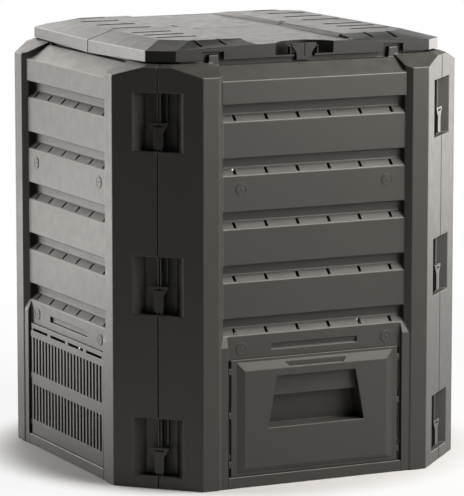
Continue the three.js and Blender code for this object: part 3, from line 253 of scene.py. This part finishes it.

# %% [markdown]
# ## One recipe, five finishes
# A roughness of about 0.45 gives the broad, soft shine of such plastic. The grain goes into a Bump node with a depth
# of about a tenth of a millimetre; deeper, and the bin would look sanded. The lid and the clips are darker and
# smoother than the walls, and the hinge pins are smooth rod.
#
# Every layer is given by three numbers: how much of it shows, its colour as a share of the plastic's own, and what it
# adds to the roughness.

# %% Strength of each layer
# Painted shade: pockets and the places under a lip are darkened towards a quarter of the plastic's colour, and made
# rougher.
PAINTED_SHADE_SHOWS, PAINTED_SHADE_TINT, SHELTERED_ROUGHER = 0.85, 0.25, 0.25
SCUFF_SHOWS, SCUFF_TINT, SCUFF_ROUGHER = 0.35, 1.45, 0.08
# Painted highlight on the rounded edges, which are also rubbed a little smoother.
EDGE_HIGHLIGHT_SHOWS, EDGE_HIGHLIGHT_TINT, RUBBED_SMOOTHER = 0.55, 1.75, 0.08
DUST_SHOWS, DUST_COLOUR, DUST_ROUGHER = 0.18, (0.22, 0.21, 0.19, 1.0), 0.12
RUBBED_PATCHES, RUBBED_BARE = 1.6, 0.35
DUST_PATCHES, DUST_EVEN = 0.5, 0.1
FLOW_TINTS = (0.90, 1.10)
TONE_FROM_FLOW, TONE_FROM_MOTTLE = 0.7, 0.3
RELIEF_FROM_GRAIN, RELIEF_FROM_MOTTLE, RELIEF_FROM_SCUFF = 0.75, 0.25, 0.25
RELIEF_STRENGTH = 0.6
MOTTLE_ROUGHER = 0.16
GRAIN_ROUGHER = 0.06
MIDDLE_OF_NOISE = 0.5
PLASTIC_IOR = 1.49
print("dust covers up to", round(100 * DUST_SHOWS), "% of what faces up")

# %% Grey plastics of the bin
def moulded_plastic(name, colour, roughness, grain_depth, grain_size=GRAIN_SIZE, dust=1.0):
    finish = Finish(name)
    place = surface_place(finish)
    flow = noise(finish, place, FLOW_SIZE, detail=3.0, roughness=0.45, distortion=0.6)
    mottle = noise(finish, place, MOTTLE_SIZE, detail=3.0, roughness=0.6)
    grain = noise(finish, place, grain_size, detail=1.5, roughness=0.55)
    scratch = scuffs(finish, place)
    # Masks: painted shade in pockets and under lips, and the painted highlight and rubbing of the rounded edges.
    sheltered = mesh_mask(finish, "sheltered")
    rubbed_and_highlit = mesh_mask(finish, "rubbed_edge") * (mottle * RUBBED_PATCHES - RUBBED_BARE)
    film = mesh_mask(finish, "faces_up") * (mottle * DUST_PATCHES + DUST_EVEN) * dust

    uneven = flow * TONE_FROM_FLOW + mottle * TONE_FROM_MOTTLE
    tone = finish.add("ShaderNodeClamp", {}, {"Value": uneven, "Min": 0.0, "Max": 1.0})
    skin = blend_colours(finish, tone, tint(colour, FLOW_TINTS[0]), tint(colour, FLOW_TINTS[1]))
    # Painted shade: darker in pockets and under lips.
    skin = blend_colours(finish, sheltered * PAINTED_SHADE_SHOWS, skin, tint(colour, PAINTED_SHADE_TINT))
    skin = blend_colours(finish, scratch * SCUFF_SHOWS, skin, tint(colour, SCUFF_TINT))
    # Painted highlight: lighter in patches on the rounded edges.
    skin = blend_colours(finish, rubbed_and_highlit * EDGE_HIGHLIGHT_SHOWS, skin, tint(colour, EDGE_HIGHLIGHT_TINT))
    skin = blend_colours(finish, film * DUST_SHOWS, skin, DUST_COLOUR)

    gloss = (mottle - MIDDLE_OF_NOISE) * MOTTLE_ROUGHER + (grain - MIDDLE_OF_NOISE) * GRAIN_ROUGHER + roughness
    gloss = gloss + scratch * SCUFF_ROUGHER - rubbed_and_highlit * RUBBED_SMOOTHER + film * DUST_ROUGHER
    gloss = gloss + sheltered * SHELTERED_ROUGHER
    relief = grain * RELIEF_FROM_GRAIN + mottle * RELIEF_FROM_MOTTLE - scratch * RELIEF_FROM_SCUFF
    bumped = finish.add("ShaderNodeBump", {},
                        {"Strength": RELIEF_STRENGTH, "Distance": grain_depth, "Height": relief})
    shader = finish.add("ShaderNodeBsdfPrincipled", {}, {
        "Base Color": skin, "Roughness": gloss, "Normal": bumped, "IOR": PLASTIC_IOR,
    })
    finish.add("ShaderNodeOutputMaterial", {}, {"Surface": shader})
    return finish.material


print("each finish is one call of the same recipe")

# %% Five finishes
BIN_GREY = (0.0270, 0.0254, 0.0228)
DARKER_GREY = tuple(0.6 * channel for channel in BIN_GREY)
PIN_GREY = tuple(0.7 * channel for channel in BIN_GREY)
FINISHES = {
    "wall": moulded_plastic("wall_plastic", BIN_GREY, roughness=0.46, grain_depth=0.00010),
    "lid": moulded_plastic("lid_plastic", DARKER_GREY, roughness=0.33, grain_depth=0.00007),
    "panel": moulded_plastic("panel_plastic", BIN_GREY, roughness=0.44, grain_depth=0.00009),
    "clip": moulded_plastic("clip_plastic", DARKER_GREY, roughness=0.40, grain_depth=0.00006),
    "pin": moulded_plastic("pin_plastic", PIN_GREY, roughness=0.30, grain_depth=0.00003, grain_size=0.0005, dust=0.0),
}
slot_of_node = {subpart["node"]: subpart["material_slot"] for subpart in frame["record"]["subparts"]}
print("finishes:", sorted(FINISHES), "for", len(slot_of_node), "solids")

# %% [markdown]
# ## Rounding the mouldings
# No moulded edge is sharp: melt does not fill a perfect corner, and a radius of a millimetre lets the part leave
# its mould. That radius also catches the light, which is how the eye finds the edges of a dark bin. The packed
# solids have sharp edges, and their meshes stay as they are, so each moulding is a rounded copy that stands for its
# solid.
#
# Blender's Bevel modifier can limit itself by angle, but a thin rib beside a long wall would then fold over. Here
# each edge gets its own weight instead: the full radius where both its faces have room, less on a rib or a short
# edge, and none on slivers.

# %% A copy of a solid with merged corners
MERGE_DISTANCE = 2e-6
FLAT_ANGLE = math.radians(0.4)
DISSOLVED_ANGLE = FLAT_ANGLE / 8
ROUNDED_ANGLE = math.radians(11)
CREASE_ANGLE = ROUNDED_ANGLE


def merged_copy(node):
    shape = bmesh.new()
    shape.from_mesh(node.data)
    bmesh.ops.remove_doubles(shape, verts=shape.verts, dist=MERGE_DISTANCE)
    bmesh.ops.dissolve_limit(shape, angle_limit=DISSOLVED_ANGLE, verts=shape.verts, edges=shape.edges)
    bmesh.ops.triangulate(shape, faces=shape.faces)
    return shape


def flat_regions(shape):
    """Numbers each face with the flat region that it lies in, and lists the corners of every region."""
    region_of = {}
    corners = []
    for start in shape.faces:
        if start in region_of:
            continue
        region_of[start] = len(corners)
        region = [start]
        for face in region:
            for edge in face.edges:
                if len(edge.link_faces) == 2 and edge.calc_face_angle(0) < FLAT_ANGLE:
                    for beside in edge.link_faces:
                        if beside not in region_of:
                            region_of[beside] = len(corners)
                            region.append(beside)
        corners.append({corner for face in region for corner in face.verts})
    return region_of, corners


print("edges that turn by", round(math.degrees(ROUNDED_ANGLE)), "degrees or more are rounded")

# %% How much radius an edge can take
LEAST_WEIGHT = 0.12
SHORTEST_EDGE = 10 * MERGE_DISTANCE
RADII_ACROSS = 3.0
RADII_ALONG = 2.2


def edge_weight(edge, radius, region_of, corners):
    """Share of the radius for which both faces and the edge itself have room."""
    along = edge.verts[1].co - edge.verts[0].co
    length = along.length
    if length < SHORTEST_EDGE:
        return 0.0
    along.normalize()
    room = 1.0
    for face in edge.link_faces:
        across = face.normal.cross(along)
        reach = [across.dot(corner.co - edge.verts[0].co) for corner in corners[region_of[face]]]
        room = min(room, max(max(reach), -min(reach)))
    weight = min(1.0, room / (RADII_ACROSS * radius), length / (RADII_ALONG * radius))
    return weight if weight >= LEAST_WEIGHT else 0.0


def weigh_edges(shape, radius):
    region_of, corners = flat_regions(shape)
    layer = shape.edges.layers.float.new("bevel_weight_edge")
    rounded = 0
    for edge in shape.edges:
        if len(edge.link_faces) != 2:
            continue
        turn = edge.calc_face_angle(0)
        weight = edge_weight(edge, radius, region_of, corners) if turn >= ROUNDED_ANGLE else 0.0
        edge[layer] = weight
        rounded += weight > 0
        edge.smooth = weight > 0 or turn < CREASE_ANGLE
    for face in shape.faces:
        face.smooth = True
    return rounded


print("ribs and short edges get less radius, down to", LEAST_WEIGHT, "of it")

# %% [markdown]
# ## From weights to a rounded mesh
# A draft object carries the weights and the Bevel modifier, and its evaluated mesh is kept. The modifier gives the
# rounded strips a second material slot, which tells them from the flat faces in the steps that follow. Where many
# edges meet, a bevel can throw a corner off the solid or fold a sliver over, so both are put right.

# %% A rounded mesh that lies on its solid
FLAT_SLOT, ROUND_SLOT = 0, 1
THROWN_SHARE = 0.6
FOLDED_BELOW = -0.2


def rounded_mesh(node, shape, radius, finish):
    draft = bpy.data.objects.new(node.name + "_draft", bpy.data.meshes.new(node.name + "_draft"))
    shape.to_mesh(draft.data)
    draft.data.materials.append(finish)
    draft.data.materials.append(finish)
    bpy.context.scene.collection.objects.link(draft)
    bevel = draft.modifiers.new("edge_radius", "BEVEL")
    bevel.width = radius
    bevel.segments = 2
    bevel.limit_method = "WEIGHT"
    bevel.edge_weight = "bevel_weight_edge"
    bevel.use_clamp_overlap = False
    bevel.loop_slide = False
    bevel.material = ROUND_SLOT
    mesh = bpy.data.meshes.new_from_object(draft.evaluated_get(bpy.context.evaluated_depsgraph_get()))
    bpy.data.objects.remove(draft)
    return mesh


def keep_on_solid(mesh, node, shape, radius):
    """Brings corners that the bevel threw too far back onto the solid, and inside its box."""
    solid = BVHTree.FromBMesh(shape)
    low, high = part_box(node.name)
    for corner in mesh.vertices:
        nearest, _, _, distance = solid.find_nearest(corner.co)
        if distance > THROWN_SHARE * radius:
            corner.co = nearest
        corner.co = [min(max(value, least), most) for value, least, most in zip(corner.co, low, high)]


def outward_normals(mesh, shape):
    """Turns round the slivers that the bevel folded over, and lists the outward normal of every face."""
    solid = BVHTree.FromBMesh(shape)
    normals = []
    folded = 0
    for face in mesh.polygons:
        normal = face.normal.copy()
        outward = solid.find_nearest(face.center)[1]
        if normal.dot(outward) < FOLDED_BELOW:
            normal.negate()
            face.flip()
            folded += 1
        normals.append(normal)
    return normals, folded


print("corners more than", THROWN_SHARE, "of the radius off the solid are brought back")

# %% [markdown]
# ## Flat faces that look flat
# With smooth shading, Blender averages the normals round each corner, and long thin triangles then throw false
# shades across a flat wall. So each corner is given its own normal: on a flat face that of the flat faces beside it,
# and on a rounded strip that of the flat face that it runs into. The light then turns only along the strips.

# %% Normals for flat faces and rounded strips
SAME_SIDE_FLAT = 0.3
SAME_SIDE_ROUND = 0.5


def shade_flat_and_round(mesh, normals):
    """Flat faces keep their own normal, and the rounded edges between them run from one to the next."""
    flats = [[] for corner in mesh.vertices]
    rounds = [[] for corner in mesh.vertices]
    for face, normal in zip(mesh.polygons, normals):
        kept = rounds if face.material_index == ROUND_SLOT else flats
        for corner in face.vertices:
            kept[corner].append((normal, face.area))
    least = math.cos(CREASE_ANGLE)
    shading = [None] * len(mesh.loops)
    for face, normal in zip(mesh.polygons, normals):
        for loop in face.loop_indices:
            corner = mesh.loops[loop].vertex_index
            if face.material_index == ROUND_SLOT:
                near = [pair for pair in flats[corner] if pair[0].dot(normal) > SAME_SIDE_FLAT]
                near = near or [pair for pair in rounds[corner] if pair[0].dot(normal) > SAME_SIDE_ROUND]
            else:
                near = [pair for pair in flats[corner] if pair[0].dot(normal) > least]
            mean = sum((direction * area for direction, area in near), Vector())
            shading[loop] = mean.normalized() if mean.length > 0 else normal
    mesh.normals_split_custom_set(shading)


print("normals are averaged over faces that turn by less than", round(math.degrees(CREASE_ANGLE)), "degrees")

# %% [markdown]
# ## Masks that ride on the mesh
# Three facts about the surface are easier to know while the copy is made than to guess in a material: which faces
# are rounded edges, which look up at rest, where dust settles, and which lie in a pocket or under a lip. For the
# last, a few rays leave each face in a cone, and the share that soon meets the same moulding is counted. A node
# could measure this while rendering, but it would change when a panel is lifted. All three are stored as attributes,
# so they stay with the plastic when a leaf of the lid swings open. The plastic paints the rounded edges lighter, a
# painted highlight, and what lies in a pocket or under a lip darker, a painted shade.

# %% Three masks
SHELTER_RAYS = 10
SHELTER_SPREAD = 1.1
SHELTER_REACH = 0.045
SHELTER_START = 0.001


def share_sheltered(solid, place, normal):
    """Share of the directions away from a face in which the moulding's own plastic is near."""
    side = normal.orthogonal().normalized()
    start = place + normal * SHELTER_START
    met = 0
    for step in range(SHELTER_RAYS):
        around = side.copy()
        around.rotate(Quaternion(normal, 2 * math.pi * step / SHELTER_RAYS))
        met += solid.ray_cast(start, (normal + around * SHELTER_SPREAD).normalized(), SHELTER_REACH)[0] is not None
    return met / SHELTER_RAYS


def store_masks(mesh, normals, shape):
    """Stores the three masks on the corners of the faces, and removes the second material slot."""
    solid = BVHTree.FromBMesh(shape)
    masks = ("rubbed_edge", "faces_up", "sheltered")
    for mask in masks:
        mesh.attributes.new(mask, "FLOAT", "CORNER")
    rubbed_and_highlit, upward, sheltered = (mesh.attributes[mask].data for mask in masks)
    for face, normal in zip(mesh.polygons, normals):
        # The share of rays that meet the moulding sets the painted shade in pockets and under lips.
        share = share_sheltered(solid, face.center, normal)
        for corner in face.loop_indices:
            # Rounded strips carry the painted highlight of the edges and their rubbing.
            rubbed_and_highlit[corner].value = float(face.material_index == ROUND_SLOT)
            upward[corner].value = max(0.0, mesh.corner_normals[corner].vector.z)
            sheltered[corner].value = share
        face.material_index = FLAT_SLOT
    mesh.materials.pop(index=ROUND_SLOT)


print("rays reach", round(1000 * SHELTER_REACH), "mm")

# %% One moulding for one solid
def round_moulding(name, radius):
    node = frame["nodes"][name]
    finish = FINISHES[slot_of_node[name]]
    shape = merged_copy(node)
    rounded = weigh_edges(shape, radius)
    mesh = rounded_mesh(node, shape, radius, finish)
    keep_on_solid(mesh, node, shape, radius)
    normals, folded = outward_normals(mesh, shape)
    shade_flat_and_round(mesh, normals)
    store_masks(mesh, normals, shape)
    shape.free()
    mesh.name = name + "_moulding"
    moulding = bpy.data.objects.new(name + "_moulding", mesh)
    bpy.context.scene.collection.objects.link(moulding)
    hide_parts(name)
    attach(moulding, node["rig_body"])
    return moulding, rounded, folded


print("each moulding will stand for one solid and move with its body")

# %% [markdown]
# ## Round every piece
# The walls have the largest radius, 1.8 mm. The finer the piece, the finer its radius: about 1 mm on a hatch and the
# lid, 0.8 mm on the bars of a grille, 0.6 mm on a clip or the latch. The first kind whose name starts a solid's name
# gives its radius, so the two small pieces of the lid stand before the lid itself.

# %% Radius of each kind of moulding
EDGE_RADIUS = {
    "lid_latch": 0.0006, "lid_hinge": 0.0005, "lid": 0.0010,
    "wall": 0.0018, "hatch": 0.0011, "grille": 0.0008, "clip": 0.0006,
}


def radius_of(name):
    for kind, radius in EDGE_RADIUS.items():
        if name.startswith(kind):
            return radius
    raise ValueError(name)


mouldings = {}
for name in sorted(frame["nodes"]):
    moulding, rounded, folded = round_moulding(name, radius_of(name))
    mouldings[name] = moulding
    print(name, "edges rounded:", rounded, "faces:", len(moulding.data.polygons), "slivers turned:", folded)

# %% [markdown]
# ## Raised rings on the walls
# Four round bosses stand on the louvred face of each wall, each with a thin ring and a pip at its centre, the kind
# of mark that a mould leaves. Sixteen equal marks in a regular pattern are a task for Geometry Nodes: one ring and
# one pip are made once, set out on the four corners of a grid, and the four marks are turned round the bin once for
# each wall. Copying objects by hand would work too, but then a change of size would mean sixteen changes.
#
# They lie on the walls and move with them, so one object on the bin's own body holds them all.

# %% Sizes of the marks
WALLS = 4
MARKS_ALONG, MARKS_UP = 2, 2
MARK_SPREAD = 0.302
MARK_ROW_LOW = 0.2612
MARK_ROW_HIGH = 0.5588
MARK_FACE = 0.3498
RING_RADIUS = 0.0096
RING_THICKNESS = 0.00055
PIP_RADIUS = 0.0021
PIP_HEIGHT = 0.0010
RING_STEPS, RING_SECTION_STEPS = 48, 8
PIP_SEGMENTS, PIP_RINGS = 20, 10
print("marks:", WALLS * MARKS_ALONG * MARKS_UP, "rings of", round(2000 * RING_RADIUS, 1), "mm")

# %% The tree that sets the marks out
class MarkTree:
    """A Geometry Nodes tree with named inputs, and the same single method for adding nodes."""

    def __init__(self, name, inputs):
        self.group = bpy.data.node_groups.new(name, "GeometryNodeTree")
        self.group.interface.new_socket("Geometry", in_out="OUTPUT", socket_type="NodeSocketGeometry")
        self.given = {}
        for label, (kind, value) in inputs.items():
            socket = self.group.interface.new_socket(label, in_out="INPUT", socket_type=kind)
            if kind == "NodeSocketFloat":
                socket.default_value = value
            self.given[label] = socket.identifier
        self.entry = self.group.nodes.new("NodeGroupInput")
        self.exit = self.group.nodes.new("NodeGroupOutput")

    def given_socket(self, label):
        return self.entry.outputs[label]

    def add(self, kind, settings=None, sockets=None, output=0):
        node = self.group.nodes.new(kind)
        for setting, value in (settings or {}).items():
            setattr(node, setting, value)
        for socket, value in (sockets or {}).items():
            if isinstance(value, bpy.types.NodeSocket):
                self.group.links.new(value, node.inputs[socket])
            else:
                node.inputs[socket].default_value = value
        return node.outputs[output]

    def join(self, *parts):
        node = self.group.nodes.new("GeometryNodeJoinGeometry")
        for part in parts:
            self.group.links.new(part, node.inputs[0])
        return node.outputs[0]

    def finish(self, geometry):
        self.group.links.new(geometry, self.exit.inputs[0])


mark_inputs = {
    "Spread": ("NodeSocketFloat", MARK_SPREAD),
    "Row Gap": ("NodeSocketFloat", MARK_ROW_HIGH - MARK_ROW_LOW),
    "Row Middle": ("NodeSocketFloat", (MARK_ROW_HIGH + MARK_ROW_LOW) / 2),
    "Face Distance": ("NodeSocketFloat", MARK_FACE),
    "Ring Radius": ("NodeSocketFloat", RING_RADIUS),
    "Ring Thickness": ("NodeSocketFloat", RING_THICKNESS),
    "Pip Radius": ("NodeSocketFloat", PIP_RADIUS),
    "Pip Height": ("NodeSocketFloat", PIP_HEIGHT),
    "Plastic": ("NodeSocketMaterial", None),
}
marks_tree = MarkTree("wall_marks", mark_inputs)
print("named inputs:", list(mark_inputs))

# %% [markdown]
# The ring is a circle swept along a circle. The pip is a small ball, flattened until it is a low dome. Both are
# made lying down, and the instances stand them up against the wall.

# %% Ring and pip
ring_path = marks_tree.add("GeometryNodeCurvePrimitiveCircle", {"mode": "RADIUS"},
                           {"Resolution": RING_STEPS, "Radius": marks_tree.given_socket("Ring Radius")})
ring_section = marks_tree.add("GeometryNodeCurvePrimitiveCircle", {"mode": "RADIUS"},
                              {"Resolution": RING_SECTION_STEPS,
                               "Radius": marks_tree.given_socket("Ring Thickness")})
ring = marks_tree.add("GeometryNodeCurveToMesh", {}, {"Curve": ring_path, "Profile Curve": ring_section})
pip_ball = marks_tree.add("GeometryNodeMeshUVSphere", {},
                          {"Segments": PIP_SEGMENTS, "Rings": PIP_RINGS,
                           "Radius": marks_tree.given_socket("Pip Radius")})
pip_share = marks_tree.add("ShaderNodeMath", {"operation": "DIVIDE"},
                           {0: marks_tree.given_socket("Pip Height"), 1: marks_tree.given_socket("Pip Radius")})
pip_scale = marks_tree.add("ShaderNodeCombineXYZ", {}, {"X": 1.0, "Y": 1.0, "Z": pip_share})
pip = marks_tree.add("GeometryNodeTransform", {}, {"Geometry": pip_ball, "Scale": pip_scale})
mark = marks_tree.join(ring, pip)
print("ring and pip are joined into one mark")

# %% Four marks on a wall, and four walls
spots = marks_tree.add("GeometryNodeMeshGrid", {}, {
    "Size X": marks_tree.given_socket("Spread"), "Size Y": marks_tree.given_socket("Row Gap"),
    "Vertices X": MARKS_ALONG, "Vertices Y": MARKS_UP,
})
on_grid = marks_tree.add("GeometryNodeInstanceOnPoints", {}, {"Points": spots, "Instance": mark})
face_distance = marks_tree.add("ShaderNodeMath", {"operation": "MULTIPLY"},
                               {0: marks_tree.given_socket("Face Distance"), 1: -1.0})
wall_place = marks_tree.add("ShaderNodeCombineXYZ", {},
                            {"X": 0.0, "Y": face_distance, "Z": marks_tree.given_socket("Row Middle")})
one_wall = marks_tree.add("GeometryNodeTransform", {},
                          {"Geometry": on_grid, "Rotation": (math.pi / 2, 0.0, 0.0), "Translation": wall_place})
centre_points = marks_tree.add("GeometryNodeMeshLine", {"mode": "OFFSET"},
                               {"Count": WALLS, "Offset": (0.0, 0.0, 0.0)})
index = marks_tree.add("GeometryNodeInputIndex")
quarter = marks_tree.add("ShaderNodeMath", {"operation": "MULTIPLY"}, {0: index, 1: 2 * math.pi / WALLS})
turn = marks_tree.add("ShaderNodeCombineXYZ", {}, {"X": 0.0, "Y": 0.0, "Z": quarter})
as_geometry = marks_tree.add("GeometryNodeGeometryToInstance", {}, {"Geometry": one_wall})
all_walls = marks_tree.add("GeometryNodeInstanceOnPoints", {},
                           {"Points": centre_points, "Instance": as_geometry, "Rotation": turn})
real_marks = marks_tree.add("GeometryNodeRealizeInstances", {}, {"Geometry": all_walls})
with_plastic = marks_tree.add("GeometryNodeSetMaterial", {},
                              {"Geometry": real_marks, "Material": marks_tree.given_socket("Plastic")})
marks_tree.finish(with_plastic)
print("nodes in the tree:", len(marks_tree.group.nodes))

# %% Marks as one plain mesh
marks_draft = bpy.data.objects.new("wall_marks_draft", bpy.data.meshes.new("wall_marks_draft"))
bpy.context.scene.collection.objects.link(marks_draft)
marks_modifier = marks_draft.modifiers.new("marks", "NODES")
marks_modifier.node_group = marks_tree.group
marks_modifier[marks_tree.given["Plastic"]] = FINISHES["wall"]
for label, (kind, value) in mark_inputs.items():
    if kind == "NodeSocketFloat":
        marks_modifier[marks_tree.given[label]] = value
marks_mesh = bpy.data.meshes.new_from_object(marks_draft.evaluated_get(bpy.context.evaluated_depsgraph_get()))
bpy.data.objects.remove(marks_draft)
marks_mesh.materials.clear()
marks_mesh.materials.append(FINISHES["wall"])
for face in marks_mesh.polygons:
    face.use_smooth = True
    face.material_index = 0
marks_mesh.name = "wall_marks"
wall_marks = bpy.data.objects.new("wall_marks", marks_mesh)
bpy.context.scene.collection.objects.link(wall_marks)
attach(wall_marks, "bin")
print("faces of the marks:", len(marks_mesh.polygons), "materials:", [m.name for m in marks_mesh.materials])

# %% [markdown]
# ## A white studio
# The photograph has a plain white ground. The floor is a large sheet of grey paper. To the camera it shows itself
# white, with the bin's soft shadow left on it near the foot. In the plastic it is mirrored dark in front of the bin
# and light behind it, as a photographer's black and white boards would be, and it gives only modest light from below.
# Light Path tells these apart. Brightening the lamps until the floor turns white would wash out the bin as well.

# %% Sizes and tones of the floor
FLOOR_HALF = 30.0
FLOOR_DROP = 0.0004
FIBRE_SIZE = 0.004
PAPER_TONES = (0.47, 0.53)
FOOT_EDGE = (0.40, 0.52)
SHADOW_EDGE = (0.5, 2.4)
SHADOW_WHITE = 0.86
MIRRORED_FROM_FRONT = (-1.2, 0.3)
MIRRORED_TONES = (0.04, 0.75)


def smooth_step(finish, value, span, result=(0.0, 1.0)):
    """Runs from the first result to the second while the value crosses the span."""
    return finish.add("ShaderNodeMapRange", {"interpolation_type": "SMOOTHSTEP"}, {
        "Value": value, "From Min": span[0], "From Max": span[1], "To Min": result[0], "To Max": result[1],
    })


def even_grey(level):
    return (level, level, level, 1.0)


print("the floor turns white beyond", SHADOW_EDGE[1], "m")

# %% Floor
floor_mesh = bpy.data.meshes.new("studio_floor")
floor_mesh.from_pydata(
    [(-FLOOR_HALF, -FLOOR_HALF, -FLOOR_DROP), (FLOOR_HALF, -FLOOR_HALF, -FLOOR_DROP),
     (FLOOR_HALF, FLOOR_HALF, -FLOOR_DROP), (-FLOOR_HALF, FLOOR_HALF, -FLOOR_DROP)],
    [], [(0, 1, 2, 3)],
)
studio_floor = bpy.data.objects.new("studio_floor", floor_mesh)
bpy.context.scene.collection.objects.link(studio_floor)
floor_finish = Finish("studio_paper")
path_camera = floor_finish.add("ShaderNodeLightPath", output="Is Camera Ray")
path_glossy = floor_finish.add("ShaderNodeLightPath", output="Is Glossy Ray")
path_through = floor_finish.add("ShaderNodeLightPath", output="Is Transmission Ray")
floor_place = surface_place(floor_finish)
paper_fibre = noise(floor_finish, floor_place, FIBRE_SIZE, detail=3.0)
paper_colour = blend_colours(floor_finish, paper_fibre, even_grey(PAPER_TONES[0]), even_grey(PAPER_TONES[1]))
paper = floor_finish.add("ShaderNodeBsdfDiffuse", {}, {"Color": paper_colour})
white = floor_finish.add("ShaderNodeEmission", {}, {"Color": even_grey(1.0), "Strength": 1.0})
distance = floor_finish.add("ShaderNodeVectorMath", {"operation": "LENGTH"}, {0: floor_place}, output=1)
depth = floor_finish.add("ShaderNodeSeparateXYZ", {}, {0: floor_place}, output=1)
outside = smooth_step(floor_finish, distance, FOOT_EDGE)
open_floor = smooth_step(floor_finish, distance, SHADOW_EDGE, (SHADOW_WHITE, 1.0))
mirrored = smooth_step(floor_finish, depth, MIRRORED_FROM_FRONT, MIRRORED_TONES)
seen = (path_camera + path_through) * outside * open_floor + path_glossy * outside * mirrored
paper_seen = floor_finish.add("ShaderNodeMixShader", {}, {0: seen, 1: paper, 2: white})
floor_finish.add("ShaderNodeOutputMaterial", {}, {"Surface": paper_seen})
floor_mesh.materials.append(floor_finish.material)
print("the floor reaches", FLOOR_HALF, "m each way")

# %% [markdown]
# ## Light on a dark bin
# In the photograph the left wall and the top of the lid are bright, the right cut-off corner is bright too, and the
# front and the left corner stay dark. On dark satin plastic such light is mostly a mirror image of the lamps, so a
# lamp belongs where the camera's ray leaves the face that is to be bright: for the left wall that is behind it on the
# left, for the louvres in front of it on the right and high up. Lamps of one or two metres give soft edges. They are
# a little warm, as the light in the photograph is.
#
# The world adds a low, even level, a bright backdrop low behind the bin for the top of the lid to mirror, and plain
# white where the camera sees past the floor.

# %% World
AIR_LEVEL = 0.05
BACKDROP_LEVEL = 0.90
BACKDROP_FROM_FRONT = (-0.1, 0.6)
BACKDROP_TOP = (0.30, 0.50)

world = bpy.data.worlds.new("studio_air")
world.use_nodes = True
bpy.context.scene.world = world
air = Finish("studio_air", world.node_tree)
air_seen = air.add("ShaderNodeLightPath", output="Is Camera Ray")
air_through = air.add("ShaderNodeLightPath", output="Is Transmission Ray")
air_direction = air.add("ShaderNodeTexCoord", output="Generated")
towards_rear = air.add("ShaderNodeSeparateXYZ", {}, {0: air_direction}, output=1)
upwards = air.add("ShaderNodeSeparateXYZ", {}, {0: air_direction}, output=2)
behind = smooth_step(air, towards_rear, BACKDROP_FROM_FRONT)
below = smooth_step(air, upwards, BACKDROP_TOP, (1.0, 0.0))
air_light = behind * below * BACKDROP_LEVEL + AIR_LEVEL
low_light = air.add("ShaderNodeBackground", {}, {"Color": even_grey(1.0), "Strength": air_light})
white_air = air.add("ShaderNodeBackground", {}, {"Color": even_grey(1.0), "Strength": 1.0})
air_mix = air.add("ShaderNodeMixShader", {}, {0: air_seen + air_through, 1: low_light, 2: white_air})
air.add("ShaderNodeOutputWorld", {}, {"Surface": air_mix})
print("the world lights the bin at", AIR_LEVEL, "and at", AIR_LEVEL + BACKDROP_LEVEL, "from the backdrop behind it")

# %% Lamps
BIN_MIDDLE = Vector((0.0, 0.0, bin_size.z / 2))
LAMP_COLOUR = (1.0, 0.96, 0.915)
# Direction from the middle of the bin, metres away, width and height in metres, watts
LAMPS = {
    "left_lamp": ((-0.72, 0.68, 0.10), 3.2, 2.2, 2.4, 88.0),
    "left_high_lamp": ((-0.22, 0.82, 0.48), 2.8, 1.8, 0.9, 30.0),
    "left_low_lamp": ((-0.72, 0.68, -0.14), 1.7, 0.9, 0.3, 5.0),
    "right_lamp": ((1.00, 0.10, 0.06), 3.2, 2.6, 1.5, 56.0),
    "front_lamp": ((0.55, -0.74, 0.38), 2.2, 1.7, 1.2, 38.0),
    "overhead_lamp": ((0.44, -0.46, 0.76), 2.6, 1.3, 1.3, 90.0),
    "rear_lamp": ((0.10, 0.93, 0.31), 3.6, 3.4, 0.9, 11.0),
}


def soft_lamp(name, direction, distance, width, height, power):
    lamp_data = bpy.data.lights.new(name, "AREA")
    lamp_data.color = LAMP_COLOUR
    lamp_data.shape = "RECTANGLE"
    lamp_data.size = width
    lamp_data.size_y = height
    lamp_data.energy = power
    lamp = bpy.data.objects.new(name, lamp_data)
    bpy.context.scene.collection.objects.link(lamp)
    towards = Vector(direction).normalized()
    lamp.location = BIN_MIDDLE + towards * distance
    lamp.rotation_mode = "QUATERNION"
    lamp.rotation_quaternion = (-towards).to_track_quat("-Z", "Y")
    lamp.visible_camera = False
    print(name, "at", [round(value, 2) for value in lamp.location], "with", power, "W")
    return lamp


lamps = {name: soft_lamp(name, *numbers) for name, numbers in LAMPS.items()}

# %% [markdown]
# In the photograph the front slope of the lid stays dark although the louvres below it are bright. A photographer
# holds a black card, a flag, between the lamp and the lid. Light linking does the same without the card's soft
# shadow on the walls: the lid's pieces are taken off the list of what the overhead lamp lights.

# %% A flag between the overhead lamp and the lid
flagged = bpy.data.collections.new("flagged_from_overhead_lamp")
for name in ("lid_front", "lid_rear", "lid_latch"):
    flagged.objects.link(mouldings[name])
for entry in flagged.collection_objects:
    entry.light_linking.link_state = "EXCLUDE"
lamps["overhead_lamp"].light_linking.receiver_collection = flagged
